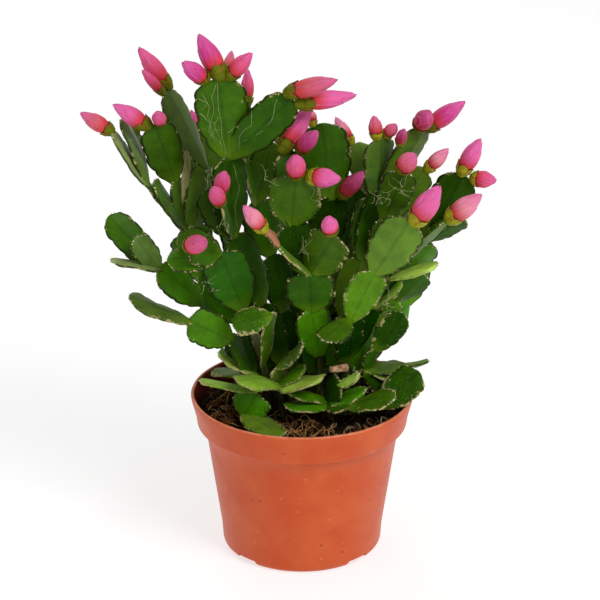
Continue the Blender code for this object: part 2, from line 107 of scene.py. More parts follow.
def paint(verts, index):  # gives a material to the faces of new vertices
    for face in {face for vert in verts for face in vert.link_faces}:
        face.material_index = index


def addCopy(bm, template):  # adds a template mesh and returns its vertices
    made = set(bm.verts)
    bm.from_mesh(template)
    return [vert for vert in bm.verts if vert not in made]


def turnTo(direction):  # a rotation that takes +Z to a direction
    return direction.to_track_quat("Z", "Y").to_matrix().to_4x4()


def easeBetween(stations, along, column):  # a smooth value between stations, whose first number is their place
    last = len(stations) - 2
    i = next(i for i in range(last + 1) if along <= stations[i + 1][0] or i == last)
    low, high = stations[i], stations[i + 1]
    before, after = stations[max(i - 1, 0)], stations[min(i + 2, last + 1)]
    span = high[0] - low[0]
    share = (along - low[0]) / span
    startSlope = (high[column] - before[column]) / (high[0] - before[0]) * span
    endSlope = (after[column] - low[column]) / (after[0] - low[0]) * span
    a, b = share * share, share * share * share
    rise = (2 * b - 3 * a + 1) * low[column] + (b - 2 * a + share) * startSlope
    return rise + (3 * a - 2 * b) * high[column] + (b - a) * endSlope


def setStage():
    lens = bpy.data.cameras.new("photoView")
    lens.lens, lens.sensor_width, lens.clip_start = view["lens"], view["sensor"], view["nearest"]
    camera = linked("photoView", lens)
    camera.location = view["place"]
    camera.rotation_euler = (math.radians(view["tilt"]), 0, 0)
    bpy.context.scene.camera = camera
    for name, (place, target, width, power) in studio["lamps"].items():
        lamp = bpy.data.lights.new(name, "AREA")
        lamp.shape, lamp.size, lamp.energy = "DISK", width, power
        holder = linked(name, lamp)
        holder.location = place
        holder.rotation_euler = (Vector(place) - Vector(target)).to_track_quat("Z", "Y").to_euler()
    world = bpy.data.worlds.new("studioAir")
    world.use_nodes = True
    fill(world.node_tree.nodes["Background"], {"Color": studio["white"], "Strength": studio["worldStrength"]})
    bpy.context.scene.world = world
    bpy.context.scene.view_settings.view_transform = "Standard"
    bm = bmesh.new()
    bmesh.ops.create_grid(bm, x_segments=2, y_segments=2, size=studio["floorSize"] / 2)
    card, shader, _ = newMaterial("paintedCardFloor")
    fill(shader, {"Base Color": studio["floor"], "Roughness": studio["floorRoughness"]})
    fill(shader, {"Emission Color": studio["white"], "Emission Strength": studio["floorGlow"]})
    floor = toObject(bm, "floor", [card])


setStage()
print("stage: camera, floor and lamps")

# The shoots. Each has its foot (x, y), the top of its woody foot, its segments and its buds, in this order.
# A segment: name, what it grows from, its tip (across, height, near), width and turn. Millimetres and degrees.
# Near is the distance towards the eye from the upright plane through the pot's axis. At a turn of 0 a segment
# faces the eye. A bud: what it grows from, the place there (share of length, of half width), its tip and girth.
eye = Vector((-1.1, -1122, 594))
shoots = {
    "shoot_left_crown": ((-10, 15), (-16, 104, -16), (
        ("u0", "top", -30, 131, -28, 20, 40), ("u1", "u0", -54, 156, -26, 22, 20),
        ("u2", "u1", -60, 181.5, -16, 24, 0), ("a1", "u2", -80.7, 206.9, -4, 21, 78),
        ("a1b", "u2", -77.5, 208, 8, 17, 66), ("a2", "a1", -99, 236.5, -2, 22, 76),
        ("a3", "a1", -93.5, 243.5, -12, 21, 73), ("b1", "u2", -67, 210.5, -14, 22, 65),
        ("b2", "b1", -76.5, 240.5, -3, 21, 8), ("b3", "b1", -86, 235, -42, 18, 70),
        ("c0", "u2", -60.5, 226, -20, 8, 50), ("c1", "u2", -50.4, 218.5, -32, 23, 48),
        ("c2", "c1", -70.2, 258.5, -34, 24, 56),
    ), (
        ("a2", 1, 0, -115, 247, 0, 8.6), ("b2", 1, -0.6, -98, 251.5, 0, 9.4),
        ("b2", 1, 0.7, -75.5, 246, 8, 7.4), ("b3", 1, 0, -93, 243.5, -50, 7),
        ("c2", 1, 0.6, -84, 282, -34, 9.8), ("c2", 1, -0.6, -82.5, 270, -24, 5.8),
    )),
    "shoot_left_arm": ((-24, 2), (-27, 99, 2), (
        ("w0", "top", -39, 120, 10, 18, 60), ("w1", "w0", -61, 130.3, 18, 20, 0),
        ("w2", "w1", -92.5, 144.4, 20, 22, 68), ("ad", "top", -45, 110.5, 6, 22, 72),
        ("x1", "top", -38, 121.5, -4, 17, 30), ("v0", "x1", -54.5, 141.5, -6, 20, 70),
        ("v1", "v0", -76.6, 160.2, 4, 18.5, 25), ("v2", "v1", -88, 177.8, 16, 13.5, 10),
        ("v3", "v1", -102, 190, 0, 16.8, 5), ("v4", "v1", -101.5, 165, 10, 22, 80),
        ("ae", "top", -46.5, 101.5, -14, 20, 76),
    ), ()),
    "shoot_left_mid": ((-15, 1), (-21, 104, 0), (
        ("t1", "top", -32, 138, 12, 10, 60), ("t2", "t1", -43.5, 169, 22, 26, 3),
        ("t3", "t2", -65, 178.5, 12, 17.5, 10), ("t4", "t2", -60.5, 171.5, 31, 17, 13),
        ("u3", "t2", -71.5, 164.5, 26, 20, 50), ("aa", "top", -17.5, 133.5, 28, 16, 68),
        ("z1", "aa", -37, 127.5, 26, 15, 20),
    ), (
        ("t4", 1, 0.3, -51, 175.6, 56, 9.8),
    )),
    "shoot_tall": ((-3, 7), (-10, 104, -6), (
        ("d0", "top", -21, 140, -14, 19, 35), ("d1", "d0", -37, 179, -6, 23, 32),
        ("d3", "d1", -38.5, 223, 4, 23, 34), ("d7", "d1", -48.5, 206, -16, 22, 14),
        ("d3b", "d1", -43, 200.5, 17, 16, 78), ("d4", "d3", -43.4, 265, 8, 28.4, 0),
        ("d5", "d3", -5.5, 254.5, 16, 21, 5), ("d6", "d3", -28.5, 251, -10, 20, 30),
    ), (
        ("d4", 1, 0.3, -53.2, 289, 0, 11), ("d4", 1, -0.88, -61.5, 274, 26, 9),
        ("d4", 1, 0.6, -36, 280, -16, 6), ("d4", 1, 0.8, -25.5, 279, 12, 8.6), ("d6", 1, 0, -28, 270.5, -14, 7),
        ("d5", 1, -0.7, 18.5, 264.5, 30, 9.6), ("d5", 1, 0.8, 28.5, 256.5, 6, 9.4),
        ("d3b", 1, 0.7, -40.6, 215, 30, 8.4), ("d3b", 1, -1, -46.6, 206, 36, 8.4),
    )),
    "shoot_mid_back": ((1, 17), (-4, 101, -18), (
        ("e0", "top", -10, 136, -28, 20, 30), ("e1", "e0", -15.8, 168.5, -32, 21, 35),
        ("e2", "e1", -25.2, 198, -22, 22, 22), ("e3", "e2", -29.5, 228, -24, 20, 75),
        ("g1", "e2", -16, 231, -26, 19, 15),
    ), ()),
    "shoot_centre": ((9, 2), (9.5, 110, -2), (
        ("r1", "top", 4.5, 137, 22, 20, 12), ("r2", "r1", 4.3, 158.2, 26, 26.5, 0),
        ("r3", "r2", 17, 179, 42, 24, 0), ("s1", "r2", -13, 173, 40, 18, 82), ("s2", "s1", -20, 182, 42, 8, 60),
        ("f2", "r2", -6, 186, 20, 21, 10), ("f3", "f2", -3, 212.5, 24, 28.5, 0),
        ("f3b", "f2", -6, 226, 6, 20, 25),
    ), (
        ("r3", 1, -0.3, 13.6, 190, 46, 8.8), ("s2", 1, 0, -31, 196, 48, 8.6), ("f3", 1, 0, -3.5, 223.5, 38, 10),
        ("f3", 1, 0.9, 20.5, 210.5, 34, 10), ("f3b", 1, -1, 5, 252, 0, 10.6), ("f3b", 1, 1, 8, 237, 32, 8.4),
    )),
    "shoot_centre_back": ((7, 10), (6, 100, -14), (
        ("h0", "top", 9, 134, -16, 20, 20), ("h1", "h0", 12, 168, -12, 22, 30),
        ("h2", "h1", 15, 201, -6, 22, 20), ("h3", "h2", 10, 241, -10, 27, 5),
        ("h4", "h0", 23, 165, -34, 22, 10), ("h6", "top", 20, 139, -26, 18, 10),
        ("h5", "h4", 31, 212.5, -37, 23, -8),
    ), (
        ("h2", 1, 1, 32.5, 214.5, 8, 9), ("h3", 1, -0.7, 4, 249, -14, 6),
    )),
    "shoot_right_back": ((16, 13), (18, 102, -14), (
        ("j0", "top", 22, 133, -10, 20, 30), ("j1", "j0", 31, 167, -8, 21, 20),
        ("j2", "j1", 39, 201, -12, 22, 25), ("i1", "j2", 29, 230.5, -28, 20, 35),
        ("jj", "j2", 40.5, 233.5, -8, 22, 45), ("k1", "j1", 43.5, 205, -10, 21, 40),
        ("k2", "k1", 63, 238.5, -12, 22, 54),
    ), (
        ("i1", 1, -0.8, 17, 244.5, -32, 7), ("jj", 1, -0.4, 37, 245.5, -8, 7.4),
        ("jj", 1, 0.8, 49, 240.5, -6, 6.8), ("k2", 1, 0.4, 84.5, 253, -10, 9.8),
        ("k2", 1, -0.7, 66, 247.5, 4, 10), ("k2", 0.7, -1, 53, 238, 6, 6),
    )),
    "shoot_right": ((25, 10), (29, 102, -10), (
        ("m0", "top", 35, 128.5, -12, 20, 36), ("m1", "m0", 50, 152.5, -18, 21, 36),
        ("m2", "m1", 66, 177, -12, 22, 24), ("m3", "m2", 84, 213.3, -4, 23, 12),
        ("m4", "m2", 85.5, 188.7, 0, 14.5, 38), ("l0", "m1", 43, 189, 4, 21, 15),
        ("l1", "l0", 53, 215, 16, 19, 15), ("l2", "l0", 64, 216.5, 0, 19, 20),
        ("o1", "m1", 67.7, 173.5, 3, 17, 39), ("ba7", "m0", 51, 142.5, -10, 15.5, 34),
        ("ba2", "ba7", 64.3, 157.3, -2, 17, 40),
    ), (
        ("l1", 1, -0.3, 59, 224.5, 24, 10), ("l2", 1, 0.3, 76.5, 227.5, 2, 7.6),
        ("m3", 1, -0.15, 93, 233, 0, 9.6), ("m3", 1, 1, 102, 209.7, 2, 9),
    )),
    "shoot_right_front": ((19, 2), (24, 106, 1), (
        ("p00", "top", 26, 131, 24, 19, 40), ("p0", "p00", 38.5, 158.5, 32.5, 19.5, 18),
        ("p1", "p0", 56.8, 187.5, 42, 25, 8), ("q1", "p00", 12, 118.5, 42, 16, 35),
        ("n00", "top", 39, 139, 12, 20, 60), ("n0", "n00", 47, 155, 16, 18, 60),
        ("n1", "n0", 77, 187.5, 18, 22, 80), ("ba1", "n0", 70, 160.5, 34, 22, -75),
        ("ba4", "n00", 53, 151, 20, 17, -70),
    ), (
        ("p1", 1, 0.45, 72.5, 207, 50, 12), ("n1", 1, 0, 94.5, 202.3, 22, 10.8),
    )),
    "shoot_right_low": ((28, -2), (35, 101, 2), (
        ("av0", "top", 39.2, 114, 2, 11, 56), ("av", "av0", 53.8, 134.8, -2, 17, 32),
        ("as", "top", 56, 104.5, -8, 20, -66), ("at", "top", 51, 97, -2, 20, -72),
        ("ax", "top", 46, 87.5, 10, 18, -55), ("ar", "as", 68, 107, -16, 9, -84),
    ), ()),
    "shoot_skirt_left": ((-22, -20), (-31, 75, 20), (
        ("ak", "top", -24.5, 87.5, 20, 21, 0), ("af", "ak", -55, 95.5, 10, 20, 80),
        ("al", "top", -12, 61.5, 44, 20, -54),
    ), ()),
    "shoot_skirt_front": ((-7, -8), (-13, 93, 9), (
        ("ag", "top", -34, 93.7, 36, 19, 64), ("ah", "top", 9.5, 95, 32, 20, -66),
        ("ai", "top", 1.5, 101.5, 14, 18, -70), ("ac0", "top", -13.5, 103, 16, 10, 40),
        ("ac", "ac0", 0.5, 116, 24, 12, -62),
    ), ()),
    "shoot_skirt_right": ((13, -9), (13.5, 83, 7), (
        ("aj1", "top", -6.5, 87, 21, 15, 70), ("aj2", "top", -6, 77.5, 30, 20, 64),
        ("ao", "top", 26, 79, 32, 17, -50), ("an0", "top", 21, 93.5, 20, 17, -42),
        ("an", "an0", 31, 98.3, 26, 9, -50), ("ap", "ao", 50.5, 84.5, 42, 21, -63),
        ("ao2", "top", 33, 87, 26, 19, -64), ("au", "top", 43, 80, 24, 18, -50),
        ("aq", "au", 63.8, 100, 19, 19, -12),
    ), ()),
    "shoot_back_left": ((-12, 26), (-16, 98, -30), (
        ("bl0", "top", -26, 128, -38, 21, 20), ("bl1", "bl0", -34, 160, -44, 22, 55),
        ("bl2", "bl1", -44, 196, -48, 23, 64), ("bl3", "bl2", -53, 233, -60, 22, 30),
        ("bl4", "bl0", -52, 152, -56, 22, 30), ("bl5", "bl4", -58, 186, -66, 22, 20),
        ("bl6", "top", -42, 112, -44, 20, 60),
    ), (
        ("bl3", 1, 0, -57.5, 248.5, -66, 7), ("bl5", 1, 0, -59, 201, -76, 9),
    )),
    "shoot_back_mid": ((4, 28), (4, 97, -36), (
        ("bm0", "top", 2, 128, -48, 21, 70), ("bm1", "bm0", -6, 162, -58, 22, 0),
        ("bm2", "bm1", -14, 198, -50, 23, 70), ("bm3", "bm1", 14, 194, -70, 22, -60),
        ("bm4", "bm3", 16, 230, -58, 22, -30), ("bm5", "bm0", 16, 148, -80, 20, 40),
        ("bm6", "top", 25, 117, -56, 20, -50), ("bm7", "bm2", -10, 230, -66, 21, 40),
        ("bm8", "bm5", 30, 178, -92, 21, -50),
    ), (
        ("bm7", 1, 0, -14, 244, -72, 9), ("bm8", 1, 0, 35, 191, -102, 9),
    )),
    "shoot_back_right": ((20, 23), (26, 98, -26), (
        ("br0", "top", 36, 128, -34, 21, 10), ("br1", "br0", 48, 160, -38, 22, -55),
        ("br2", "br1", 59, 196, -36, 23, -62), ("br3", "br1", 44, 190, -62, 22, 40),
        ("br4", "br0", 57, 140, -56, 20, 30), ("br5", "top", 42, 119.5, -50, 20, -60),
        ("br6", "br4", 61, 171, -70, 20, 10),
    ), (
        ("br3", 1, 0, 42, 203, -74, 9),
    )),
}

layout = {"sink": 2.2, "shiftAlongTip": 2.0, "arch": 1.0, "archStep": 2.4, "footEnd": 62.0}


def seen(across, height, near):  # the point, in metres, that the layout means
    onPlane = Vector((across, 0, height))
    return (onPlane + (eye - onPlane).normalized() * near) * mm


class Blade:  # where one flat stem segment lies, and the places on it
    def __init__(self, order, base, tip, width, turn, parent):
        aim = (tip - base).normalized()
        if parent:
            base = base + parent.side * aim.dot(parent.side) * layout["shiftAlongTip"] * mm
        axis = (tip - base).normalized()
        self.order, self.tip, self.axis = order, tip, axis
        self.base = base - axis * layout["sink"] * mm
        self.length = (tip - self.base).length
        sight = (eye * mm - (self.base + tip) / 2).normalized()
        self.normal = (sight - axis * sight.dot(axis)).normalized()
        self.normal.rotate(Matrix.Rotation(math.radians(turn), 3, axis))
        self.side = axis.cross(self.normal)
        self.halfWidth = width / 2 * mm
        self.arch = layout["arch"] * mm * math.sin(layout["archStep"] * order)

    def at(self, along, across=0.0, above=0.0):
        arch = self.arch * 4 * along * (1 - along)
        centre = self.base + self.axis * self.length * along
        return centre + self.side * self.halfWidth * across + self.normal * (above + arch)


def growBlades(top, segments, order):
    grown = {}
    for name, parent, across, height, near, width, turn in segments:
        source = grown.get(parent)
        base = source.tip if source else seen(*top)
        grown[name] = Blade(order + len(grown), base, seen(across, height, near), width, turn, source)
    return grown


def gridTemplate(name, columns, rows, inner):  # a slab: 0 to 1 along, -1 to 1 across, its faces at 1 and inner
    bm = bmesh.new()
    bmesh.ops.create_grid(bm, x_segments=columns, y_segments=rows, size=1)
    bmesh.ops.solidify(bm, geom=bm.faces[:], thickness=1)
    middle = sum(vert.co.z for vert in bm.verts) / len(bm.verts)
    for vert in bm.verts:
        vert.co = ((vert.co.x + 1) / 2, vert.co.y, 1 if vert.co.z > middle else inner)
    mesh = bpy.data.meshes.new(name)
    bm.to_mesh(mesh)
    bm.free()
    return mesh

# Living skin: a waxy cuticle over green flesh, so soft gloss, a yellow-green neck, a fine brown rim, darkened
# further as a painted shadow line where segments overlap, and pale breathing dots, and on old segments dry cork
# that creeps in from the edge. The place attribute holds the share of the length, the distance from the midrib and
# how corky the segment is. The tint attribute holds the segment's green, darkened as painted shade on segments that
# lie in shadow and lightened as painted light on some low ones.
skin = {
    "tones": {  # each green and the segments that have it
        # shadeBlack, deepShade and deep are painted shade for segments that lie in shadow; pale and fresh also hold
        # painted light on low segments
        "shadeBlack": ("#0E2F00", "n00 p00"),
        "deepShade": ("#193500", "ax d0 h2"),
        "deep": ("#1C3C00", "av e0 e1 f2 h4 h6"),
        "duskGreen": ("#264900", "aq av0 bl0 bm0 bm1 br0 d3 d6 f3b m1 m2 m3 u0 an0"),
        "forest": ("#2C5400", "au ba2 bl1 bm6 br1 br5 d1 d3b d5 h3 h5 k1 m4 n0 r2 x1"),
        "pine": ("#275D00", "h0 t2"),
        "moss": ("#365803", "ao b2 d7 g1 l1 t3"),
        "leaf": ("#345E00", "d4 e2 j2 t4 v3 w0 z1"),
        "fern": ("#3D5F07", "a1b aa ap at b1 bl3 f3 l0 q1 r3"),
        "greySage": ("#48621E", "ac ac0 as b3 c2 w2"),
        "meadow": ("#4A690C", "j1 k2 l2 n1"),
        "emerald": ("#437701", "aj1 bl2 bl4 bl5 bl6 bm3 bm4 bm5 bm7 bm8 br2 br3 br4 br6 e3 m0 o1 u2 u3 v0 w1"),
        "sage": ("#4E7124", "jj"),
        "greyMeadow": ("#536F2E", "a3 v2"),
        "grass": ("#458005", "aj2 ak ao2 j0 r1 u1 v1"),
        "dryOlive": ("#5A751C", "ae al"),
        "bright": ("#538409", "ai ba7 bm2 h1 p0"),
        "soft": ("#5B7D24", "a1 ar c1 i1 p1 s1"),
        "grey": ("#849958", "a2 v4"),
        "pale": ("#7CA52B", "af ag"),
        "fresh": ("#9EBA46", "ad ah"),
        "youngPale": ("#A6CB52", "an ba1 ba4"),
        "blush": ("#A86E50", "s2"),
        "wood": ("#8F8F58", "t1 c0"),
    },
    "cork": {  # how much of the segment's edge is dry and corky
        0.9: "c0", 0.7: "e3", 0.65: "z1", 0.6: "ad aa ac", 0.55: "i1 af ap", 0.5: "at ac0 ae",
        0.45: "w2 av aq ah d3b", 0.4: "ba1 ag ao ao2 aj2 p0 s1 bm6 bl6", 0.35: "aj1 ai as",
        0.3: "an an0 al r3 f3 ak n0 br5", 0.2: "c2 t4",
    },
    "usualCork": 0.12,
    "toneSpread": 0.07,
    "neck": "#6F9416",  # young flesh at the neck
    "midrib": "#6A8A4A",
    # rim: the brown margin colour, dark enough to serve also as a painted shadow line along the edges
    "rim": "#1C1A06",
    "corkColour": "#C6BC84",
    "corkDark": "#7E7238",
    "dots": "#A9B98A",
    "blotch": 7.0,  # millimetres, the clouds in the green
    "grain": 0.45,  # millimetres, the cells of the cuticle
    "dotSpacing": 1.5,  # millimetres, drawn a little coarser than the real breathing pores so that they show
    "corkScales": (620.0, 170.0, 1500.0),  # per metre: the cork's crumbs, its patches and its finest grain
    "roughness": 0.40,
    "corkRoughness": 0.85,
}


def growSkin():
    made, shader, add = newMaterial("waxyCuticle")
    tint = add("Attribute", attribute_name="tint").outputs["Vector"]
    along, across, cork = add("SeparateXYZ", (add("Attribute", attribute_name="place").outputs["Vector"],)).outputs
    coords = add("TexCoord").outputs["Object"]
    crumbScale, patchScale, grainScale = skin["corkScales"]
    clouds = add("TexNoise", {"Vector": coords, "Scale": 1000 / skin["blotch"], "Detail": 3.0})
    shade = add("MapRange", (clouds, 0.3, 0.7, 0.8, 1.22))
    body = add("VectorMath", {0: tint, "Scale": shade}, operation="SCALE")
    young = add("MapRange", (along, 0.34, 0.06, 0.0, 0.34), **smooth)
    neck = add("MixRGB", (young, body, skin["neck"]))
    crease = add("MapRange", (across, 0.13, 0.0, 0.0, 0.30), **smooth)
    ribbed = add("MixRGB", (crease, neck, skin["midrib"]), blend_type="MULTIPLY")
    pores = add("TexVoronoi", {"Vector": coords, "Scale": 1000 / skin["dotSpacing"], "Randomness": 1.0})
    dot = add("MapRange", (pores, 0.16, 0.06), **smooth)
    flecked = add("Math", (cork, 1.1, 0.14), operation="MULTIPLY_ADD")
    fleck = add("Math", (dot, flecked), operation="MULTIPLY", use_clamp=True)
    dotted = add("MixRGB", (fleck, ribbed, skin["dots"]))
    # the brown margin, darkened beyond its own colour as a painted shadow line where segments overlap; cork
    # lightens it
    rimBand = add("MapRange", (across, 0.84, 0.96, 0.0, 0.88), **smooth)
    darkRim = add("Math", (cork, -1.7, 1.15), operation="MULTIPLY_ADD", use_clamp=True)
    rimAndShadowShare = add("Math", (rimBand, darkRim), operation="MULTIPLY")
    rimAndShadowLine = add("MixRGB", (rimAndShadowShare, dotted, skin["rim"]))
    crumbs = add("TexNoise", {"Vector": coords, "Scale": crumbScale, "Detail": 4.0, "Roughness": 0.65})
    reach = add("MapRange", (across, 0.25, 1.0, -0.42, 0.12))
    tipReach = add("MapRange", (along, 0.80, 1.0, 0.0, 0.10))
    dryness = add("Math", (cork, 0.34, reach), operation="MULTIPLY_ADD")
    tipDry = add("Math", (dryness, tipReach), operation="ADD")
    patches = add("TexNoise", {"Vector": coords, "Scale": patchScale, "Detail": 1.0})
    patchy = add("Math", (patches, 0.7, crumbs), operation="MULTIPLY_ADD")
    rough = add("Math", (tipDry, patchy), operation="ADD")
    corky = add("MapRange", (rough, 1.08, 1.18), **smooth)
    patch = add("TexNoise", {"Vector": coords, "Scale": grainScale, "Detail": 2.0})
    corkTone = add("MixRGB", (patch, skin["corkDark"], skin["corkColour"]))
    whole = add("MixRGB", (corky, rimAndShadowLine, corkTone))
    gloss = add("MapRange", {0: corky, 3: skin["roughness"], 4: skin["corkRoughness"]})
    cells = add("TexNoise", {"Vector": coords, "Scale": 1000 / skin["grain"], "Detail": 2.0})
    lumps = add("Math", (corky, 1.6, cells), operation="MULTIPLY_ADD")
    relief = add("Math", (clouds, 4.0, lumps), operation="MULTIPLY_ADD")
    bump = add("Bump", {"Strength": 0.5, "Distance": 0.00022, "Height": relief})
    green = add("SeparateXYZ", (tint,)).outputs[1]
    shine = add("MapRange", (green, 0.03, 0.10, 0.0, 0.13))  # dull in the deep shade
    fill(shader, {"Base Color": whole, "Roughness": gloss, "Normal": bump})
    fill(shader, {"IOR": 1.42, "Specular IOR Level": shine})
    return made

# Segments: a lens-shaped blade on a fine grid. Both edges have shallow notches with a bristly areole in each.
bladeForm = {
    "stations": (  # share of the length, half width as a share of the full one, half thickness in millimetres
        (0.00, 0.20, 0.9), (0.08, 0.38, 1.2), (0.20, 0.68, 1.45), (0.33, 0.86, 1.6), (0.48, 1.0, 1.6),
        (0.62, 0.97, 1.55), (0.77, 0.99, 1.45), (0.89, 0.86, 1.3), (0.96, 0.68, 1.2), (1.00, 0.44, 1.05),
    ),
    "columns": 30,
    "rows": 10,
    "edge": 0.34,  # half thickness at the rim, millimetres
    "crown": 1.5,  # how full the face is between midrib and rim
    "rib": 0.16,
    "ribWidth": 0.10,
    "notches": (0.30, 0.53, 0.75, 0.92),
    "notchSpread": 0.035,
    "notchWidth": 0.028,
    "notchDepth": 0.065,
    "lobe": 0.035,
    "lobeReach": 0.09,
    "tipRound": 1.6,  # millimetres
    "tipStart": 0.86,
    "wave": 0.55,
    "waves": (1.0, 1.7),  # how many stand along the edge
    "cup": 0.7,
}
bristles = {
    "length": (0.7, 1.8),
    "tipLength": (1.0, 2.8),
    "radius": 0.085,
    "taper": 0.25,
    "inNotch": 2,
    "onCork": 8,
    "atTip": 6,
    "felt": 0.42,
    "feltShare": (0.12, 0.7),  # how many notches have a woolly tuft: usual share, and what cork adds
    "tipTufts": 5,
}
wood = {
    # the bark tones are darkened to a green-brown as painted shade, so the woody feet sink into the shade of the
    # crowded low centre
    "bark": "#3F4418",
    "barkDark": "#1A1E06",
    "radius": (3.0, 2.1),
    "rings": 9,
    "sides": 10,
    "knobs": 0.22,
    "knobScale": 260,
}
bristleSlot, barkSlot, cupSlot, stubSlot = 1, 2, 3, 4


def bladeMapper(blade):  # the function from the grid to the points of this segment, and where its notches lie
    draw = random.Random(1000 + blade.order)
    spread = bladeForm["notchSpread"]
    places = {side: [place + draw.uniform(-spread, spread) for place in bladeForm["notches"]] for side in (-1, 1)}
    draw = random.Random(2000 + blade.order)
    phase, turns = draw.uniform(0, 6.3), draw.uniform(*bladeForm["waves"])
    wave = bladeForm["wave"] * draw.uniform(0.4, 1.0)
    cup = bladeForm["cup"] * draw.uniform(-0.8, 0.8)

    def edgeShape(along, side):  # the outline's notches and the lobes between them, as a factor of the half width
        nearest = min(abs(along - place) for place in places[side])
        dip = math.exp(-((nearest / bladeForm["notchWidth"]) ** 2)) * bladeForm["notchDepth"]
        lobe = min(nearest / bladeForm["lobeReach"], 1) * bladeForm["lobe"]
        return 1 - dip + lobe - bladeForm["lobe"] * 0.6

    def shape(along, across, face):
        side = 1 if across > 0 else -1
        share = easeBetween(bladeForm["stations"], along, 1) * edgeShape(along, side)
        thick = easeBetween(bladeForm["stations"], along, 2)
        free = min(along / 0.25, 1) * min((1 - along) / 0.12 + 0.25, 1)
        edge = bladeForm["edge"]
        body = edge + (thick - edge) * (1 - abs(across) ** bladeForm["crown"])
        rib = bladeForm["rib"] * math.exp(-((across / bladeForm["ribWidth"]) ** 2)) * free
        ripple = wave * math.sin(6.283 * turns * along + phase + (1.6 if side > 0 else 0)) * across * across * free
        lift = face * (body + rib) + ripple + cup * across * across * free
        blunt = max(along - bladeForm["tipStart"], 0) / (1 - bladeForm["tipStart"])
        point = blade.at(along, across * share, lift * mm)
        return point - blade.axis * bladeForm["tipRound"] * mm * across * across * blunt * blunt

    return shape, places


def addSpine(bm, start, direction, length):
    matrix = Matrix.Translation(start + direction * length / 2) @ turnTo(direction)
    root = bristles["radius"] * mm
    radii = {"radius1": root, "radius2": root * bristles["taper"]}
    made = bmesh.ops.create_cone(bm, cap_ends=True, segments=3, **radii, depth=length, matrix=matrix)
    paint(made["verts"], bristleSlot)


def addFelt(bm, centre, size, draw):  # a small woolly tuft
    matrix = Matrix.Translation(centre) @ Matrix.Rotation(draw.uniform(0, 3), 4, "X") @ Matrix.Diagonal((*size, 1))
    paint(bmesh.ops.create_icosphere(bm, subdivisions=1, radius=1, matrix=matrix)["verts"], bristleSlot)


def addBlade(bm, template, blade, tone, cork):
    draw = random.Random(3000 + blade.order)
    shape, places = bladeMapper(blade)
    fresh = addCopy(bm, template)
    tint, place = bm.verts.layers.float_color["tint"], bm.verts.layers.float_color["place"]
    spread = 1 + draw.uniform(-1, 1) * skin["toneSpread"]
    warm = 1 + draw.uniform(-1, 1) * skin["toneSpread"] * 0.7
    colour = (tone[0] * spread * warm, tone[1] * spread, tone[2] * spread / warm, 1)
    for vert in fresh:
        along, across, face = vert.co
        vert.co = shape(along, across, face)
        vert[tint] = colour
        vert[place] = (along, abs(across), cork, 1)
    usualShare, corkShare = bristles["feltShare"]
    for side, stops in places.items():
        for stop in stops:
            root = shape(stop, side * 0.97, 0)
            if draw.random() < usualShare + cork * corkShare:
                size = bristles["felt"] * draw.uniform(0.7, 1.3) * mm
                addFelt(bm, root, (size, size, size * 0.8), draw)
            for _ in range(draw.randint(0, bristles["inNotch"] + round(cork * bristles["onCork"]))):
                away = blade.side * side + blade.axis * draw.uniform(0.1, 1.1)
                away += blade.normal * draw.uniform(-0.7, 0.7)
                addSpine(bm, root, away.normalized(), draw.uniform(*bristles["length"]) * mm)
    for _ in range(bristles["atTip"]):
        across = draw.uniform(-0.95, 0.95)
        root = shape(0.995, across, draw.uniform(-0.4, 0.4))
        away = blade.axis + blade.side * (across * 0.6 + draw.uniform(-0.5, 0.5))
        away += blade.normal * draw.uniform(-0.7, 0.7)
        addSpine(bm, root, away.normalized(), draw.uniform(*bristles["tipLength"]) * mm)
    for i in range(bristles["tipTufts"]):
        across = (i - 2) / 2.2 + draw.uniform(-0.15, 0.15)
        size = bristles["felt"] * draw.uniform(0.8, 1.6) * mm
        addFelt(bm, shape(0.992, across, 0), (size * 1.3, size, size), draw)
    return shape


def addFoot(bm, foot, top, girth, slot):  # the woody foot, knobbly
    before = set(bm.verts)
    form = [radius * girth for radius in wood["radius"]]
    axis, length = (top - foot).normalized(), (top - foot).length
    matrix = Matrix.Translation(foot) @ turnTo(top - foot)
    made = bmesh.ops.create_circle(bm, cap_ends=True, segments=wood["sides"], radius=form[0] * mm, matrix=matrix)
    edges = list({edge for vert in made["verts"] for edge in vert.link_edges})
    for i in range(wood["rings"]):
        moved = bmesh.ops.extrude_edge_only(bm, edges=edges)["geom"]
        verts = [item for item in moved if isinstance(item, bmesh.types.BMVert)]
        edges = [item for item in moved if isinstance(item, bmesh.types.BMEdge)]
        bmesh.ops.translate(bm, verts=verts, vec=axis * length / wood["rings"])
        share = (i + 1) / wood["rings"]
        radius = (form[0] + (form[1] - form[0]) * share) * mm
        middle = foot + axis * length * share
        for vert in verts:
            out = (vert.co - middle).normalized()
            vert.co = middle + out * radius * (1 + wood["knobs"] * noise.noise(vert.co * wood["knobScale"]))
    bmesh.ops.contextual_create(bm, geom=edges)
    paint([vert for vert in bm.verts if vert not in before], slot)

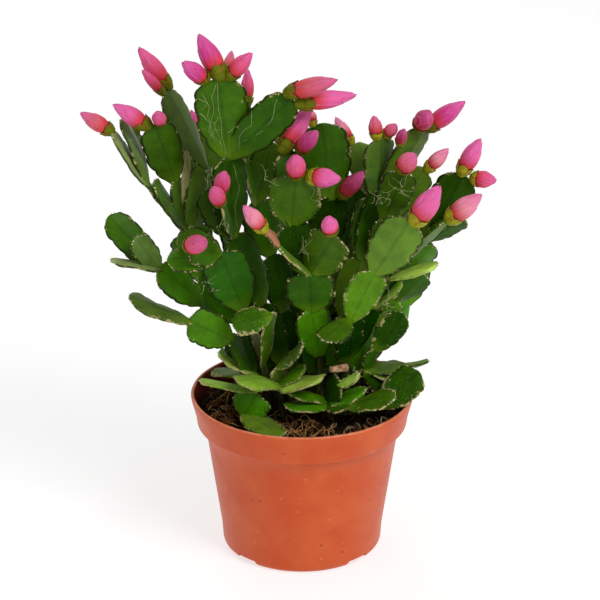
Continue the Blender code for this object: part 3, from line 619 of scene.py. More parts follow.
# Buds: satin petals wrapped round each other to a point, coral at the foot and paler at the tip, in an olive cup.
budForm = {
    "outline": (  # share of the length, radius as a share of the girth's
        (0.0, 0.80), (0.12, 0.95), (0.28, 1.0), (0.45, 0.95), (0.62, 0.78), (0.78, 0.56), (0.90, 0.36), (1.0, 0.07),
    ),
    "rows": (  # petals, reach along the bud, half spread in degrees, turn, layer
        (3, 1.0, 80, 0, 0.94),
        (4, 0.90, 60, 35, 0.975),
        (5, 0.66, 44, 12, 1.015),
    ),
    "overlap": 0.006,
    "twist": 38,
    "thick": 0.34,
    "curl": 0.16,
    "columns": 8,
    "across": 6,
    "lift": 0.35,
    "core": ((14, 10), 0.93, 0.97, 3, 0, 1, 3),  # sides, share of the girth, reach, bluntness, ribs and two marks
    "cup": ((12, 8), 1, 1, 2.2, 0.05, 0.5, 0),
    "cupShare": 0.21,
    "cupSink": 1.6,
    "sideSeat": 0.9,
    "cupOutline": ((0.0, 0.42), (0.3, 0.68), (0.65, 0.88), (1.0, 0.93)),
    "scales": 5,
    "scaleSpread": 40,
    "scaleReach": (0.13, 0.24),
    "scaleStart": 0.55,
    "scaleOutline": ((0.0, 0.90), (0.15, 0.99), (0.30, 1.03), (1.0, 1.02)),
}
petals = {
    "foot": "#CE3A38",
    "heart": "#D23A7C",
    "tip": "#DF68A9",
    "paleTip": "#F29CC0",
    "cup": "#6E7606",
    "cupPale": "#C0BA28",
    "paleCups": (18, 20, 24, 25, 26, 27, 30, 32, 33, 34, 35, 36),
    "cupDark": "#4A5200",
    "cupRim": "#8C4A1C",
    "roughness": 0.45,
}
budKinds = {  # buds that differ from the usual heart colour
    "pale": ("#E68A9C", (18, 24, 25, 32, 36)),
    "pink": ("#E05E9B", (2, 14, 17, 20, 21, 33, 35)),
    "coral": ("#D0586A", (1, 10, 13, 26, 27, 31)),
    "magenta": ("#CB3C86", (8, 9, 22, 28)),
    "dark": ("#B02E58", (23, 29, 30)),
    "rose": ("#DA4C76", (3, 5, 6, 7, 11, 12, 15, 16, 19, 34)),
}


def budColour(number):
    return next((heart for heart, numbers in budKinds.values() if number in numbers), petals["heart"])


def petalMaterial(name, heart):  # satin petal: soft sheen, fine lengthwise veins, coral foot and a paler tip
    made, shader, add = newMaterial(name)
    along, across, layer = add("SeparateXYZ", (add("Attribute", attribute_name="place").outputs["Vector"],)).outputs
    coords = add("TexCoord").outputs["Object"]
    foot = add("MapRange", (along, 0.48, 0.06, 0.0, 0.95), **smooth)
    warm = add("MixRGB", (foot, heart, petals["foot"]))
    tipward = add("MapRange", (along, 0.38, 1.0, 0.0, 0.6), **smooth)
    tipped = add("MixRGB", (tipward, warm, petals["tip"]))
    vein = add("CombineXYZ", (across, along, layer))
    stretch = add("VectorMath", (vein, (11.0, 1.3, 7.0)), operation="MULTIPLY")
    streaks = add("TexNoise", {"Vector": stretch, "Scale": 1.0, "Detail": 3.0})
    shade = add("MapRange", (streaks, 0.3, 0.7, 0.84, 1.14))
    veined = add("VectorMath", {0: tipped, "Scale": shade}, operation="SCALE")
    edge = add("MapRange", (across, 0.76, 1.0, 0.0, 0.26), **smooth)
    edged = add("MixRGB", (edge, veined, petals["paleTip"]))
    cells = add("TexNoise", {"Vector": coords, "Scale": 2200.0, "Detail": 2.0})
    relief = add("Math", (streaks, 3.0, cells), operation="MULTIPLY_ADD")
    bump = add("Bump", {"Strength": 0.35, "Distance": 0.00015, "Height": relief})
    fill(shader, {"Base Color": edged, "Normal": bump, "Roughness": petals["roughness"], "IOR": 1.38})
    fill(shader, {"Specular IOR Level": 0.25, "Subsurface Weight": 0.12, "Subsurface Scale": 0.0012})
    fill(shader, {"Subsurface Radius": (1.0, 0.35, 0.4)})
    return made


def cupMaterial():  # young fleshy cup: olive yellow, browner and redder where its scales end
    made, shader, add = newMaterial("fleshyCup")
    across = add("SeparateXYZ", (add("Attribute", attribute_name="place").outputs["Vector"],)).outputs[1]
    tint = add("Attribute", attribute_name="tint").outputs["Vector"]
    clouds = add("TexNoise", {"Vector": add("TexCoord").outputs["Object"], "Scale": 380.0, "Detail": 3.0})
    green = add("MixRGB", (clouds, petals["cupDark"], tint))
    edge = add("MapRange", (across, 0.55, 1.0, 0.0, 0.6), **smooth)
    edged = add("MixRGB", (edge, green, petals["cupRim"]))
    bump = add("Bump", {"Strength": 0.4, "Distance": 0.0002, "Height": clouds})
    fill(shader, {"Base Color": edged, "Normal": bump, "Roughness": 0.45, "Specular IOR Level": 0.12})
    return made


def axisFrame(base, tip):
    axis = (tip - base).normalized()
    first = axis.orthogonal().normalized()
    return axis, first, axis.cross(first)


def wrapPetal(bm, template, base, tip, girth, petal, outline):  # one petal laid round the bud's axis
    centre, reach, spread, layer, seed = petal
    axis, first, second = axisFrame(base, tip)
    length = (tip - base).length
    place = bm.verts.layers.float_color["place"]
    for vert in addCopy(bm, template):
        v, u, outer = min(max(vert.co.x, 0), 1), vert.co.y, vert.co.z
        share = v * reach
        narrow = (1 - v**3.2) ** 0.62 * (0.72 + 0.28 * min(v / 0.3, 1))
        angle = math.radians(centre + spread * u * narrow + budForm["twist"] * share)
        radius = easeBetween(outline, share, 1) * girth / 2 * layer + (budForm["lift"] * v**4 * (1 - reach * 0.9))
        radius = max(radius - budForm["curl"] * u * u - (0 if outer else budForm["thick"]), 0.05) * mm
        vert.co = base + axis * length * share + (first * math.cos(angle) + second * math.sin(angle)) * radius
        vert[place] = (share, abs(u), seed % 7, 1)


def addBall(bm, form, outline, base, tip, girth):  # a closed round body along an axis
    sides, full, reach, blunt, ribs, mark, layer = form
    axis, first, second = axisFrame(base, tip)
    place = bm.verts.layers.float_color["place"]
    for vert in bmesh.ops.create_uvsphere(bm, u_segments=sides[0], v_segments=sides[1], radius=1)["verts"]:
        share, flat = (vert.co.z + 1) / 2, math.hypot(vert.co.x, vert.co.y)
        angle = math.atan2(vert.co.y, vert.co.x)
        radius = easeBetween(outline, share, 1) * girth / 2 * full * mm * min(flat * blunt, 1)
        out = (first * math.cos(angle) + second * math.sin(angle)) * radius * (1 + ribs * math.cos(5 * angle))
        vert.co = base + axis * (tip - base).length * share * reach + out
        vert[place] = (share * mark, 0.2, layer, 1)


def growBud(template, number, base, tip, girth):
    draw = random.Random(4000 + number)
    bm = bmesh.new()
    bm.verts.layers.float_color.new("place")
    addBall(bm, budForm["core"], budForm["outline"], base, tip, girth)
    start = draw.uniform(0, 360)
    for count, reach, spread, turn, layer in budForm["rows"]:
        for i in range(count):
            centre = start + turn + 360 / count * i + draw.uniform(-8, 8)
            length = min(reach * draw.uniform(0.95, 1.03), 1.0)
            petal = (centre, length, spread, layer + budForm["overlap"] * (i % 2), number * 3 + i)
            wrapPetal(bm, template, base, tip, girth, petal, budForm["outline"])
    return bm


def addCup(bm, template, base, shoulder, tip, girth, number):  # the olive cup and its scales
    draw = random.Random(5000 + number)
    before = set(bm.verts)
    addBall(bm, budForm["cup"], budForm["cupOutline"], base, shoulder, girth)
    start = draw.uniform(0, 360)
    low = base + (shoulder - base) * budForm["scaleStart"]
    for i in range(budForm["scales"]):
        centre = start + 360 / budForm["scales"] * i + draw.uniform(-10, 10)
        scale = (centre, draw.uniform(*budForm["scaleReach"]), budForm["scaleSpread"], 1.0, i)
        wrapPetal(bm, template, low, tip, girth, scale, budForm["scaleOutline"])
    made = [vert for vert in bm.verts if vert not in before]
    paint(made, cupSlot)
    tint = bm.verts.layers.float_color["tint"]
    for vert in made:
        vert[tint] = linear(petals["cupPale" if number in petals["paleCups"] else "cup"])

dry = {
    "bristle": "#D8D0AC", "bristleDark": "#9C8452", "thread": "#CBD8A4", "threadDark": "#AFA67A",
    "stub": "#CBA079", "stubDark": "#7A4E30",
}
stub = {"on": "shoot_right_front", "root": (24, 102.8, 7), "tip": (15.6, 101.6, 13), "girth": 0.78}


def dryMaterial(name, light, dark, size, roughness):  # dry plant hair, root and cork: matt, straw to tan in clumps
    made, shader, add = newMaterial(name)
    clumps = add("TexNoise", {"Vector": add("TexCoord").outputs["Object"], "Scale": 1000 / size, "Detail": 2.0})
    share = add("MapRange", (clumps, 0.35, 0.65))
    fill(shader, {"Base Color": add("MixRGB", (share, dark, light)), "Roughness": roughness})
    return made


def barkMaterial():  # old woody stem: bark with darker lengthwise cracks, in tones darkened as painted shade
    made, shader, add = newMaterial("crackedBarkShaded")
    long = add("Mapping", {"Vector": add("TexCoord").outputs["Object"], "Scale": (1, 1, 0.25)})
    cracks = add("TexNoise", {"Vector": long, "Scale": 700.0, "Detail": 5.0})
    share = add("MapRange", (cracks, 0.38, 0.6))
    tone = add("MixRGB", (share, wood["barkDark"], wood["bark"]))
    bump = add("Bump", {"Strength": 0.9, "Distance": 0.0004, "Height": cracks})
    fill(shader, {"Base Color": tone, "Normal": bump, "Roughness": 0.85, "Specular IOR Level": 0.12})
    return made


toneOf = {name: linear(tone) for tone, names in skin["tones"].values() for name in names.split()}
corkOf = {name: cork for cork, names in skin["cork"].items() for name in names.split()}
stemFinishes = [
    growSkin(),
    dryMaterial("dryBristle", dry["bristle"], dry["bristleDark"], 2.0, 0.75),
    barkMaterial(),
    cupMaterial(),
    dryMaterial("driedStub", dry["stub"], dry["stubDark"], 3.0, 0.8),
]
budCount = sum(len(buds) for *_, buds in shoots.values())
hearts = sorted({budColour(number + 1) for number in range(budCount)})
petalFinish = {tone: petalMaterial(f"satinPetal{i}", tone) for i, tone in enumerate(hearts)}
bladeMesh = gridTemplate("bladeTemplate", bladeForm["columns"], bladeForm["rows"], -1)
petalMesh = gridTemplate("petalTemplate", budForm["columns"], budForm["across"], 0)
blades, shapes = {}, {}
budNumber = 0
for shootName, (foot, top, segments, buds) in shoots.items():
    grown = growBlades(top, segments, len(blades))
    blades.update(grown)
    bm = bmesh.new()
    bm.verts.layers.float_color.new("tint")
    bm.verts.layers.float_color.new("place")
    for name, blade in grown.items():
        tone, cork = toneOf.get(name, toneOf["ai"]), corkOf.get(name, skin["usualCork"])
        shapes[name] = addBlade(bm, bladeMesh, blade, tone, cork)
    addFoot(bm, Vector((*foot, layout["footEnd"])) * mm, seen(*top), 1, barkSlot)
    if shootName == stub["on"]:  # the dry end of a shoot that broke off
        addFoot(bm, seen(*stub["root"]), seen(*stub["tip"]), stub["girth"], stubSlot)
    for parent, along, across, *tipPlace, girth in buds:
        budNumber += 1
        tip = seen(*tipPlace)
        start = grown[parent].at(along, across * (0.5 if along == 1 else budForm["sideSeat"]))
        axis = (tip - start).normalized()
        shoulder = start + axis * (tip - start).length * budForm["cupShare"]
        addCup(bm, petalMesh, start - axis * budForm["cupSink"] * mm, shoulder, tip, girth, budNumber)
        bud = growBud(petalMesh, budNumber, shoulder, tip, girth)
        piece = toObject(bud, f"petals_{budNumber:02d}", [petalFinish[budColour(budNumber)]])
        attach(piece, "root")
        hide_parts(f"bud_{budNumber:02d}")
    piece = toObject(bm, shootName.replace("shoot", "stems"), stemFinishes)
    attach(piece, "root")
    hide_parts(shootName)
print("stage: stems and buds")

# The pot: thin terracotta-coloured polypropylene, injection moulded. Sizes in millimetres.
pot = {
    "height": 89.2,
    "rim": 60.4,
    "bandFoot": 57.3,
    "bandHeight": 17.7,
    "bodyTop": 52.6,
    "bodyFoot": 43.2,
    "base": 39.6,
    "corner": 4.2,
    "lip": 1.9,
    "wall": 1.2,
    "shoulder": 2.2,
    "pad": 13.0,
    "footHeight": 3.4,
    "footRing": 2.6,
    "notches": 4,
    "notchWidth": 17.0,
    "notchReach": 12.0,
    "notchOut": 2.0,
    "notchEnds": (0.8, 1.1),  # the notch is narrower above
    "drains": 6,
    "drainRadius": 3.6,
    "drainCircle": 27.0,
    "drainDepth": 20.0,
    "steps": 120,
    "arcSteps": 8,
    "weld": 1e-6,  # metres
    "plastic": "#BF460E",
    "plasticPale": "#CF6430",
    # the inside wall: the same plastic darkened as painted shade inside the pot, with darker clouds of soil dirt
    "inside": "#8C3014",
    "insideDirtInShade": "#54200F",
    "dust": "#E0A07E",
    "specks": "#4A2314",
}


def roundedCorner(centre, radius, start, stop):  # points of an arc in the profile's plane, in degrees
    steps = pot["arcSteps"]
    turns = [math.radians(start + (stop - start) * i / steps) for i in range(steps + 1)]
    return [(centre[0] + radius * math.cos(turn), centre[1] + radius * math.sin(turn)) for turn in turns]


def potOutline():  # from the middle of the underside outwards, up to the lip and down again inside
    height, rim, band, base, corner = pot["height"], pot["rim"], pot["bandFoot"], pot["base"], pot["corner"]
    bodyTop, bodyFoot, wall, pad, foot = pot["bodyTop"], pot["bodyFoot"], pot["wall"], pot["pad"], pot["footHeight"]
    under = height - pot["bandHeight"]
    ring, lip, floor, rise = base - pot["footRing"], pot["lip"] / 2, foot + wall, under - pot["shoulder"] - corner
    points = [(0, 0), (pad - 0.5, 0), (pad, 0.5), (pad + 1, foot)]
    points += [(ring - 1, foot), (ring - 0.3, 0.4), (ring + 0.3, 0)]
    points += roundedCorner((base, corner), corner, -90, -8)
    for i in range(1, 9):
        level = corner + rise * i / 8
        points.append((bodyFoot + (bodyTop - bodyFoot) / rise * (level - corner), level))
    points += [(bodyTop + 0.5, under - 1.6), (bodyTop + 1.4, under - 1.1), (band - 2.6, under - 0.5)]
    points += [(band - 1.1, under + 0.1), (band - 0.25, under + 1.1), (band, under + 2.2), (band + 0.45, under + 6)]
    points.append((rim - 0.35, height - 3.0))
    points += roundedCorner((rim - lip, height - lip), lip, 0, 180)
    points += [(band - pot["lip"], under + 3.0), (bodyTop - wall, under), (bodyFoot - wall, floor + 2)]
    return points + [(bodyFoot - wall - 2, floor), (0, floor)]


def spun(outline, steps):  # a shell turned from its outline
    bm = bmesh.new()
    points = [bm.verts.new(Vector((radius, 0, height)) * mm) for radius, height in outline]
    edges = [bm.edges.new(pair) for pair in zip(points, points[1:])]
    around = {"cent": (0, 0, 0), "axis": (0, 0, 1), "angle": 2 * math.pi}
    bmesh.ops.spin(bm, geom=points + edges, **around, steps=steps, use_merge=True)
    bmesh.ops.remove_doubles(bm, verts=bm.verts, dist=pot["weld"])
    return bm


def cutOut(body, cutter):
    hole = body.modifiers.new("Cut", "BOOLEAN")
    hole.operation, hole.object, hole.solver = "DIFFERENCE", cutter, "EXACT"
    bpy.context.view_layer.update()
    mesh = bpy.data.meshes.new_from_object(body.evaluated_get(bpy.context.evaluated_depsgraph_get()))
    body.modifiers.clear()
    body.data = mesh
    bpy.data.objects.remove(cutter)


def mouldedPlastic(name, plain, pale):  # polypropylene from a mould: satin and dusty, with scuffs and dark specks, and a lip top lightened partly by wear and partly as a painted highlight
    made, shader, add = newMaterial(name)
    coords = add("TexCoord").outputs["Object"]
    cloud = add("TexNoise", {"Vector": coords, "Scale": 55.0, "Detail": 3.0})
    tone = add("MixRGB", (add("MapRange", (cloud, 0.35, 0.7, 0.0, 0.45)), plain, pale))
    streak = add("Mapping", {"Vector": coords, "Scale": (1, 1, 3.5)})
    scuff = add("TexNoise", {"Vector": streak, "Scale": 190.0, "Detail": 6.0, "Roughness": 0.7})
    dusty = add("MixRGB", (add("MapRange", (scuff, 0.60, 0.78, 0.0, 0.30)), tone, pot["dust"]))
    cells = add("TexVoronoi", {"Vector": coords, "Scale": 92.0})
    specked = add("MixRGB", (add("MapRange", (cells, 0.08, 0.05, 0.0, 0.65)), dusty, pot["specks"]))
    grit = add("TexVoronoi", {"Vector": coords, "Scale": 135.0})
    gritty = add("MixRGB", (add("MapRange", (grit, 0.09, 0.05, 0.0, 0.4)), specked, pot["dust"]))
    level = add("SeparateXYZ", (coords,)).outputs[2]
    # the top of the lip is lightened towards the dust colour in broken patches: partly wear, partly a painted
    # highlight where the edge catches the light
    lipTopHighlight = add("MapRange", (level, (pot["height"] - 1.1) * mm, (pot["height"] - 0.2) * mm, 0.0, 0.6))
    rubAndHighlight = add("Math", (lipTopHighlight, add("MapRange", (scuff, 0.40, 0.62, 0.25, 1.0))), operation="MULTIPLY")
    rubbedAndLit = add("MixRGB", (rubAndHighlight, gritty, pot["dust"]))
    gloss = add("MapRange", (scuff, 0.3, 0.8, 0.36, 0.52))
    grain = add("TexNoise", {"Vector": coords, "Scale": 900.0, "Detail": 3.0})
    bump = add("Bump", {"Strength": 0.25, "Distance": 0.0002, "Height": grain})
    fill(shader, {"Base Color": rubbedAndLit, "Roughness": gloss, "Normal": bump})
    fill(shader, {"IOR": 1.49, "Specular IOR Level": 0.34})
    return made


def buildPot():
    bm = spun(potOutline(), pot["steps"])
    bmesh.ops.recalc_face_normals(bm, faces=bm.faces)
    for face in bm.faces:
        centre = face.calc_center_median()
        inner = face.normal.dot(Vector((centre.x, centre.y, 0))) < 0
        face.material_index = int(inner and pot["footHeight"] * mm < centre.z < (pot["height"] - pot["lip"]) * mm)
    outer = mouldedPlastic("mouldedPolypropylene", pot["plastic"], pot["plasticPale"])
    # the inner walls below the lip get the darker inside finish: painted shade, with dirt clouds
    inner = mouldedPlastic("shadedSoiledPolypropylene", pot["inside"], pot["insideDirtInShade"])
    body = toObject(bm, "pot_body", [outer, inner])
    above, below = pot["notchEnds"]
    for i in range(pot["notches"]):
        angle = math.radians(45 + 360 / pot["notches"] * i)
        cutter = bmesh.new()
        bmesh.ops.create_cube(cutter, size=1)
        for vert in cutter.verts:
            vert.co.y *= above if vert.co.z > 0 else below
        place = Matrix.Rotation(angle, 4, "Z") @ Matrix.Translation(((pot["base"] + pot["notchOut"]) * mm, 0, 0))
        size = Matrix.Diagonal((pot["notchReach"] * mm, pot["notchWidth"] * mm, 2 * pot["footHeight"] * mm, 1))
        bmesh.ops.transform(cutter, matrix=place @ size, verts=cutter.verts)
        cutOut(body, toObject(cutter, "notch", []))
    for i in range(pot["drains"]):
        angle, radius = 2 * math.pi * (i + 0.5) / pot["drains"], pot["drainRadius"] * mm
        place = Matrix.Translation(Vector((math.cos(angle), math.sin(angle), 0)) * pot["drainCircle"] * mm)
        cutter = bmesh.new()
        size = {"radius1": radius, "radius2": radius, "depth": pot["drainDepth"] * mm}
        bmesh.ops.create_cone(cutter, cap_ends=True, segments=24, **size, matrix=place)
        cutOut(body, toObject(cutter, "drain", []))
    body.data.shade_smooth()
    body.data.set_sharp_from_angle(angle=math.radians(40))
    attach(body, "root")
    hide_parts("pot")


buildPot()
print("stage: pot")

# Potting soil: dark peat crumbs on a lumpy bed, with curled tan roots and fibres that lie over it.
soil = {
    "top": 77.0,
    "lump": 1.5,
    "radius": 54.9,
    "mound": 5.5,
    "moundAt": (-44, 8),
    "moundReach": 15.0,
    "rings": 46,
    "steps": 110,
    "peat": "#140C06",
    "peatLight": "#35220F",
    "crumb": "#24150A",
    "crumbLight": "#5A3A1C",
    "bark": "#7A4A20",
    "barkDark": "#2A170A",
    "root": "#A8773A",
    "rootDark": "#4A2E14",
    "rootPale": "#D2C3A0",
    "rootPaleDark": "#8E7448",
    "crumbs": 1700,
    "chips": (  # clumps of bark chips: centre, spread, how many, size of a chip
        ((-48, -2), 1.5, 5, (2.6, 5.0)), ((-40, -13), 5.0, 16, (1.4, 3.2)), ((-50, 10), 3.0, 8, (1.2, 2.6)),
        ((-8, -30), 9.0, 14, (1.2, 2.8)), ((16, -36), 8.0, 9, (1.0, 2.4)), ((0, 0), 34.0, 40, (1.0, 2.6)),
    ),
    "crumbSize": (0.5, 2.0),
    "roots": 70,
    "tangles": (  # clumps of curled roots: centre, spread, how many, share of pale ones
        ((-47, -8), 6.0, 30, 0.15), ((-8, -28), 9.0, 75, 0.08), ((20, -34), 6.0, 22, 0.6),
        ((-52, 6), 3.0, 10, 0.2), ((36, -26), 6.0, 16, 0.2),
    ),
    "tangleLength": (5, 15),
    "tangleRise": (0.8, 4.2),
    "rootLength": (8, 26),
    "rootRadius": (0.20, 0.58),
    "rootRise": (0.3, 2.6),
    "rootSteps": 9,
    "rootShort": 5,  # a root with fewer points than this is left out
    "strandEnd": 0.55,  # how much a strand thins towards its end
    "paleShare": 0.22,
    "paleThin": 0.6,
}


def soilHeight(x, y):  # millimetres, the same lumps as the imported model's
    lumps = math.sin(0.31 * x + 0.9) * math.cos(0.27 * y - 0.4) + 0.6 * math.sin(0.55 * x - 0.43 * y)
    aside = (x - soil["moundAt"][0]) ** 2 + (y - soil["moundAt"][1]) ** 2
    return soil["top"] + soil["lump"] * lumps + soil["mound"] * math.exp(-aside / (2 * soil["moundReach"] ** 2))


def peatMaterial(name, dark, light, grain):  # loose peat: matt, nearly black where wet, brown where the fibres dry
    made, shader, add = newMaterial(name)
    coords = add("TexCoord").outputs["Object"]
    bits = add("TexNoise", {"Vector": coords, "Scale": 1000 / grain, "Detail": 6.0, "Roughness": 0.7})
    tone = add("MixRGB", (add("MapRange", (bits, 0.4, 0.68)), dark, light))
    bump = add("Bump", {"Strength": 0.9, "Distance": 0.0006, "Height": bits})
    fill(shader, {"Base Color": tone, "Normal": bump, "Roughness": 0.95, "Specular IOR Level": 0.1})
    return made


def addChips(bm, draw):  # bark chips: flat, lumpy and part sunk, in clumps
    for (middleX, middleY), spread, count, sizes in soil["chips"]:
        for _ in range(count):
            x, y = draw.gauss(middleX, spread), draw.gauss(middleY, spread)
            size = draw.uniform(*sizes)
            if math.hypot(x, y) > soil["radius"] - size * 1.1:
                continue
            place = Vector((x, y, soilHeight(x, y) + size * draw.uniform(0.1, 0.5))) * mm
            turn = Matrix.Rotation(draw.uniform(0, 6.3), 4, "Z") @ Matrix.Rotation(draw.uniform(-0.6, 0.6), 4, "X")
            sides = size, size * draw.uniform(0.4, 0.8), size * draw.uniform(0.3, 0.6)
            shape = Matrix.Diagonal((*(side * mm for side in sides), 1))
            made = bmesh.ops.create_icosphere(bm, subdivisions=2, radius=1)
            seed = Vector((draw.uniform(0, 50), 0, 0))
            for vert in made["verts"]:
                vert.co *= 1 + 0.45 * noise.noise(vert.co * 1.6 + seed)
            bmesh.ops.transform(bm, matrix=Matrix.Translation(place) @ turn @ shape, verts=made["verts"])
            paint(made["verts"], 2)


def buildSoil():
    draw = random.Random(71)
    under, foot, floor = pot["height"] - pot["bandHeight"], pot["bodyFoot"], pot["footHeight"] + pot["wall"] + 0.35
    outline = [(0, floor), (foot - 3.6, floor), (foot - 1.6, floor + 2), (pot["bodyTop"] - 1.6, under)]
    outline.append((pot["bandFoot"] - 2.3, under + 2.4))
    for i in range(soil["rings"] + 1):
        outline.append((soil["radius"] * (1 - i / soil["rings"]), soil["top"]))
    bm = spun(outline, soil["steps"])
    for vert in bm.verts:
        if vert.co.z > (soil["top"] - 0.1) * mm:
            x, y = vert.co.x / mm, vert.co.y / mm
            coarse = noise.fractal(Vector((x * 0.16, y * 0.16, 3.1)), 0.9, 2.1, 4) * 1.3
            vert.co.z = (soilHeight(x, y) + (coarse + noise.noise(vert.co * 700) * 0.5)) * mm
    for _ in range(soil["crumbs"]):
        radius, angle = (soil["radius"] - 1.2) * math.sqrt(draw.random()), draw.uniform(0, 6.283)
        x, y = radius * math.cos(angle), radius * math.sin(angle)
        size = draw.uniform(*soil["crumbSize"]) * draw.uniform(0.5, 1) * mm
        place = Vector((x, y, soilHeight(x, y) + draw.uniform(-0.3, 0.9))) * mm
        turn = Matrix.Rotation(draw.uniform(0, 6.3), 4, Vector((draw.random(), draw.random(), 0.5)).normalized())
        shape = Matrix.Diagonal((size, size * draw.uniform(0.6, 1), size * draw.uniform(0.4, 0.9), 1))
        matrix = Matrix.Translation(place) @ turn @ shape
        made = bmesh.ops.create_icosphere(bm, subdivisions=1, radius=1, matrix=matrix)
        paint(made["verts"], int(draw.random() < 0.5))
    addChips(bm, draw)
    bed = peatMaterial("loosePeat", soil["peat"], soil["peatLight"], 2.2)
    crumb = peatMaterial("driedPeat", soil["crumb"], soil["crumbLight"], 1.2)
    chip = peatMaterial("compostedBark", soil["barkDark"], soil["bark"], 1.6)
    piece = toObject(bm, "soil_bed", [bed, crumb, chip])
    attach(piece, "root")
    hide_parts("soil")


def layStrands(name, strands, finish):  # thin round strands from lists of points and radii, as one mesh
    curve = bpy.data.curves.new(name, "CURVE")
    curve.dimensions, curve.bevel_depth, curve.bevel_resolution, curve.use_fill_caps = "3D", 1.0, 0, True
    curve.resolution_u = 3
    for points, radius in strands:
        line = curve.splines.new("NURBS")
        line.points.add(len(points) - 1)
        line.use_endpoint_u, line.order_u = True, 3
        for i, (item, point) in enumerate(zip(line.points, points)):
            item.co = (*point, 1)
            item.radius = radius * mm * (1 - soil["strandEnd"] * i / len(points))
    strand = linked(name, curve)
    bpy.context.view_layer.update()
    mesh = bpy.data.meshes.new_from_object(strand.evaluated_get(bpy.context.evaluated_depsgraph_get()))
    bpy.data.objects.remove(strand)
    mesh.name = name
    mesh.materials.clear()
    mesh.materials.append(finish)
    mesh.shade_smooth()
    piece = linked(name, mesh)
    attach(piece, "root")


def rootStrand(draw, x, y, length, rise):  # one curled root that lies on the soil
    heading, bend = draw.uniform(0, 6.283), draw.uniform(-0.7, 0.7)
    count, thick, points = soil["rootSteps"], draw.uniform(*soil["rootRadius"]), []
    for i in range(count):
        if math.hypot(x, y) > soil["radius"] - 2:
            break
        hump = rise * math.sin(math.pi * i / (count - 1))
        points.append(Vector((x, y, soilHeight(x, y) + thick * 0.4 + hump)) * mm)
        heading += bend + draw.uniform(-0.45, 0.45)
        x += math.cos(heading) * length / count
        y += math.sin(heading) * length / count
    return points, thick


def layRoots():
    draw = random.Random(72)
    tan, pale, starts = [], [], []
    loose = soil["rootLength"], soil["rootRise"], soil["paleShare"]
    for _ in range(soil["roots"]):
        radius, angle = (soil["radius"] - 4) * math.sqrt(draw.random()), draw.uniform(0, 6.283)
        starts.append((radius * math.cos(angle), radius * math.sin(angle), *loose))
    for (middleX, middleY), spread, count, share in soil["tangles"]:
        for _ in range(count):
            x, y = draw.gauss(middleX, spread), draw.gauss(middleY, spread * 0.8)
            starts.append((x, y, soil["tangleLength"], soil["tangleRise"], share))
    for x, y, lengths, rises, share in starts:
        points, thick = rootStrand(draw, x, y, draw.uniform(*lengths), draw.uniform(*rises))
        if len(points) < soil["rootShort"]:
            continue
        if draw.random() < share:
            pale.append((points, thick * soil["paleThin"]))
        else:
            tan.append((points, thick))
    root = dryMaterial("dryRoot", soil["root"], soil["rootDark"], 3.0, 0.85)
    layStrands("roots_tan", tan, root)
    paleRoot = dryMaterial("paleRoot", soil["rootPale"], soil["rootPaleDark"], 3.0, 0.8)
    layStrands("roots_pale", pale, paleRoot)


buildSoil()
layRoots()
print("stage: soil")

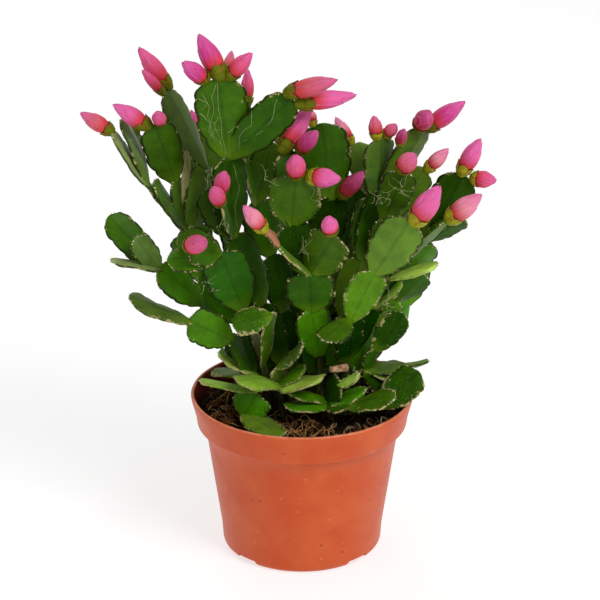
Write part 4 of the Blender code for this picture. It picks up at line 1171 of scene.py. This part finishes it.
# Threads: pale dry hairs and fibres that hang across the segments, as left by old bristles and spider silk.
threads = {
    "radius": 0.075,
    "kink": 0.65,  # millimetres
    "lift": (0.3, 1.3),
    "laid": {  # on each segment: lists of (share of the length, share of the half width) that a thread passes over
        "d4": (
            ((1.0, 0), (0.72, -0.12), (0.46, -0.08), (0.26, -0.15), (0.06, -0.3)),
            ((0.86, -0.7), (0.7, -0.45), (0.55, -0.6), (0.45, -0.3)),
            ((0.62, -0.85), (0.5, -0.5), (0.34, -0.55), (0.2, -0.2)),
            ((0.42, 0.5), (0.34, 0.1), (0.4, -0.4), (0.3, -0.8)),
            ((0.97, -0.1), (0.8, -0.35), (0.62, -0.3), (0.4, -0.62), (0.24, -0.5)),
            ((0.55, -0.2), (0.45, -0.35), (0.3, -0.25), (0.12, -0.45)),
            ((0.8, -0.85), (0.74, -0.5), (0.66, -0.75)),
        ),
        "d5": (
            ((0.9, -0.6), (0.7, 0.1), (0.52, 0.2), (0.3, -0.1)),
            ((0.6, -0.9), (0.5, -0.4), (0.36, -0.5), (0.2, 0.1)),
        ),
        "f3": (((0.95, 0.5), (0.8, 0.75), (0.62, 0.6), (0.55, 0.9)),),
        "d3": (((0.9, 0.2), (0.6, 0.5), (0.4, 0.1), (0.15, 0.3)),),
        "l0": (((0.95, 0.4), (0.7, 0.1), (0.4, 0.3), (0.1, -0.1)), ((0.8, -0.6), (0.6, -0.1), (0.3, -0.4))),
    },
    "perSegment": 2,  # stray short hairs that stand on the faces near the edges
    "hairLength": (1.4, 4.2),
    "hairRadius": 0.10,
    "hairy": 0.55,  # share of the segments with such hairs
    "bends": 6,
    "tangled": 0.9,  # the loose bundles' share of the radius
    "tangles": (  # loose bundles in the air: place as seen, spread in millimetres, how many, length
        ((-49, 214, 12), 3.0, 5, (5, 10)), ((1.5, 171, 34), 2.5, 8, (4, 9)), ((52, 205, 22), 3.0, 10, (5, 12)),
        ((42, 196, 44), 6.0, 7, (5, 12)), ((-20, 211, 26), 3.0, 3, (7, 12)), ((-52, 150, 34), 5.0, 6, (4, 8)),
        ((44, 143, 34), 4.0, 7, (4, 9)), ((-43, 184, 22), 4.0, 7, (3, 7)), ((30, 100, 32), 6.0, 5, (4, 8)),
    ),
}


def curlFrom(start, heading, length, draw):  # a loose thread that wanders on from a point
    points, count = [start], threads["bends"]
    for _ in range(count):
        heading = (heading + Vector([draw.uniform(-0.7, 0.7) for _ in range(3)])).normalized()
        points.append(points[-1] + heading * length / count)
    return points


def kinked(route, draw):  # the route with a loose bend in each of its stretches
    points = [route[0]]
    for start, end in zip(route, route[1:]):
        for share in (0.33, 0.67):
            loose = Vector([draw.gauss(0, threads["kink"] / 2) for _ in range(3)]) * mm
            points.append(start.lerp(end, share) + loose)
        points.append(end)
    return points


def layThreads():
    draw = random.Random(73)
    radius, strands = threads["radius"], []
    for name, lines in threads["laid"].items():
        for line in lines:
            lift = blades[name].normal * draw.uniform(*threads["lift"]) * mm
            route = [shapes[name](along, across, 1) + lift * draw.uniform(0.2, 1) for along, across in line]
            strands.append((kinked(route, draw), radius))
    for name, blade in blades.items():
        if draw.random() > threads["hairy"]:
            continue
        for _ in range(draw.randint(1, threads["perSegment"])):
            along, side = draw.uniform(0.2, 0.98), draw.choice((-1, 1))
            root = shapes[name](along, side * draw.uniform(0.75, 0.97), 1)
            away = blade.side * side * draw.uniform(-0.3, 1) + blade.normal + blade.axis * draw.uniform(-0.4, 0.8)
            length = draw.uniform(*threads["hairLength"]) * mm
            strands.append((curlFrom(root, away.normalized(), length, draw), threads["hairRadius"]))
    for place, spread, count, length in threads["tangles"]:
        for _ in range(count):
            start = seen(*(draw.gauss(middle, spread / 2) for middle in place))
            heading = Vector([draw.uniform(-1, 1) for _ in range(3)]).normalized()
            route = curlFrom(start, heading, draw.uniform(*length) * mm, draw)
            strands.append((route, radius * threads["tangled"]))
    finish = dryMaterial("dryThread", dry["thread"], dry["threadDark"], 4.0, 0.7)
    layStrands("dry_threads", strands, finish)


layThreads()
print("stage: threads")
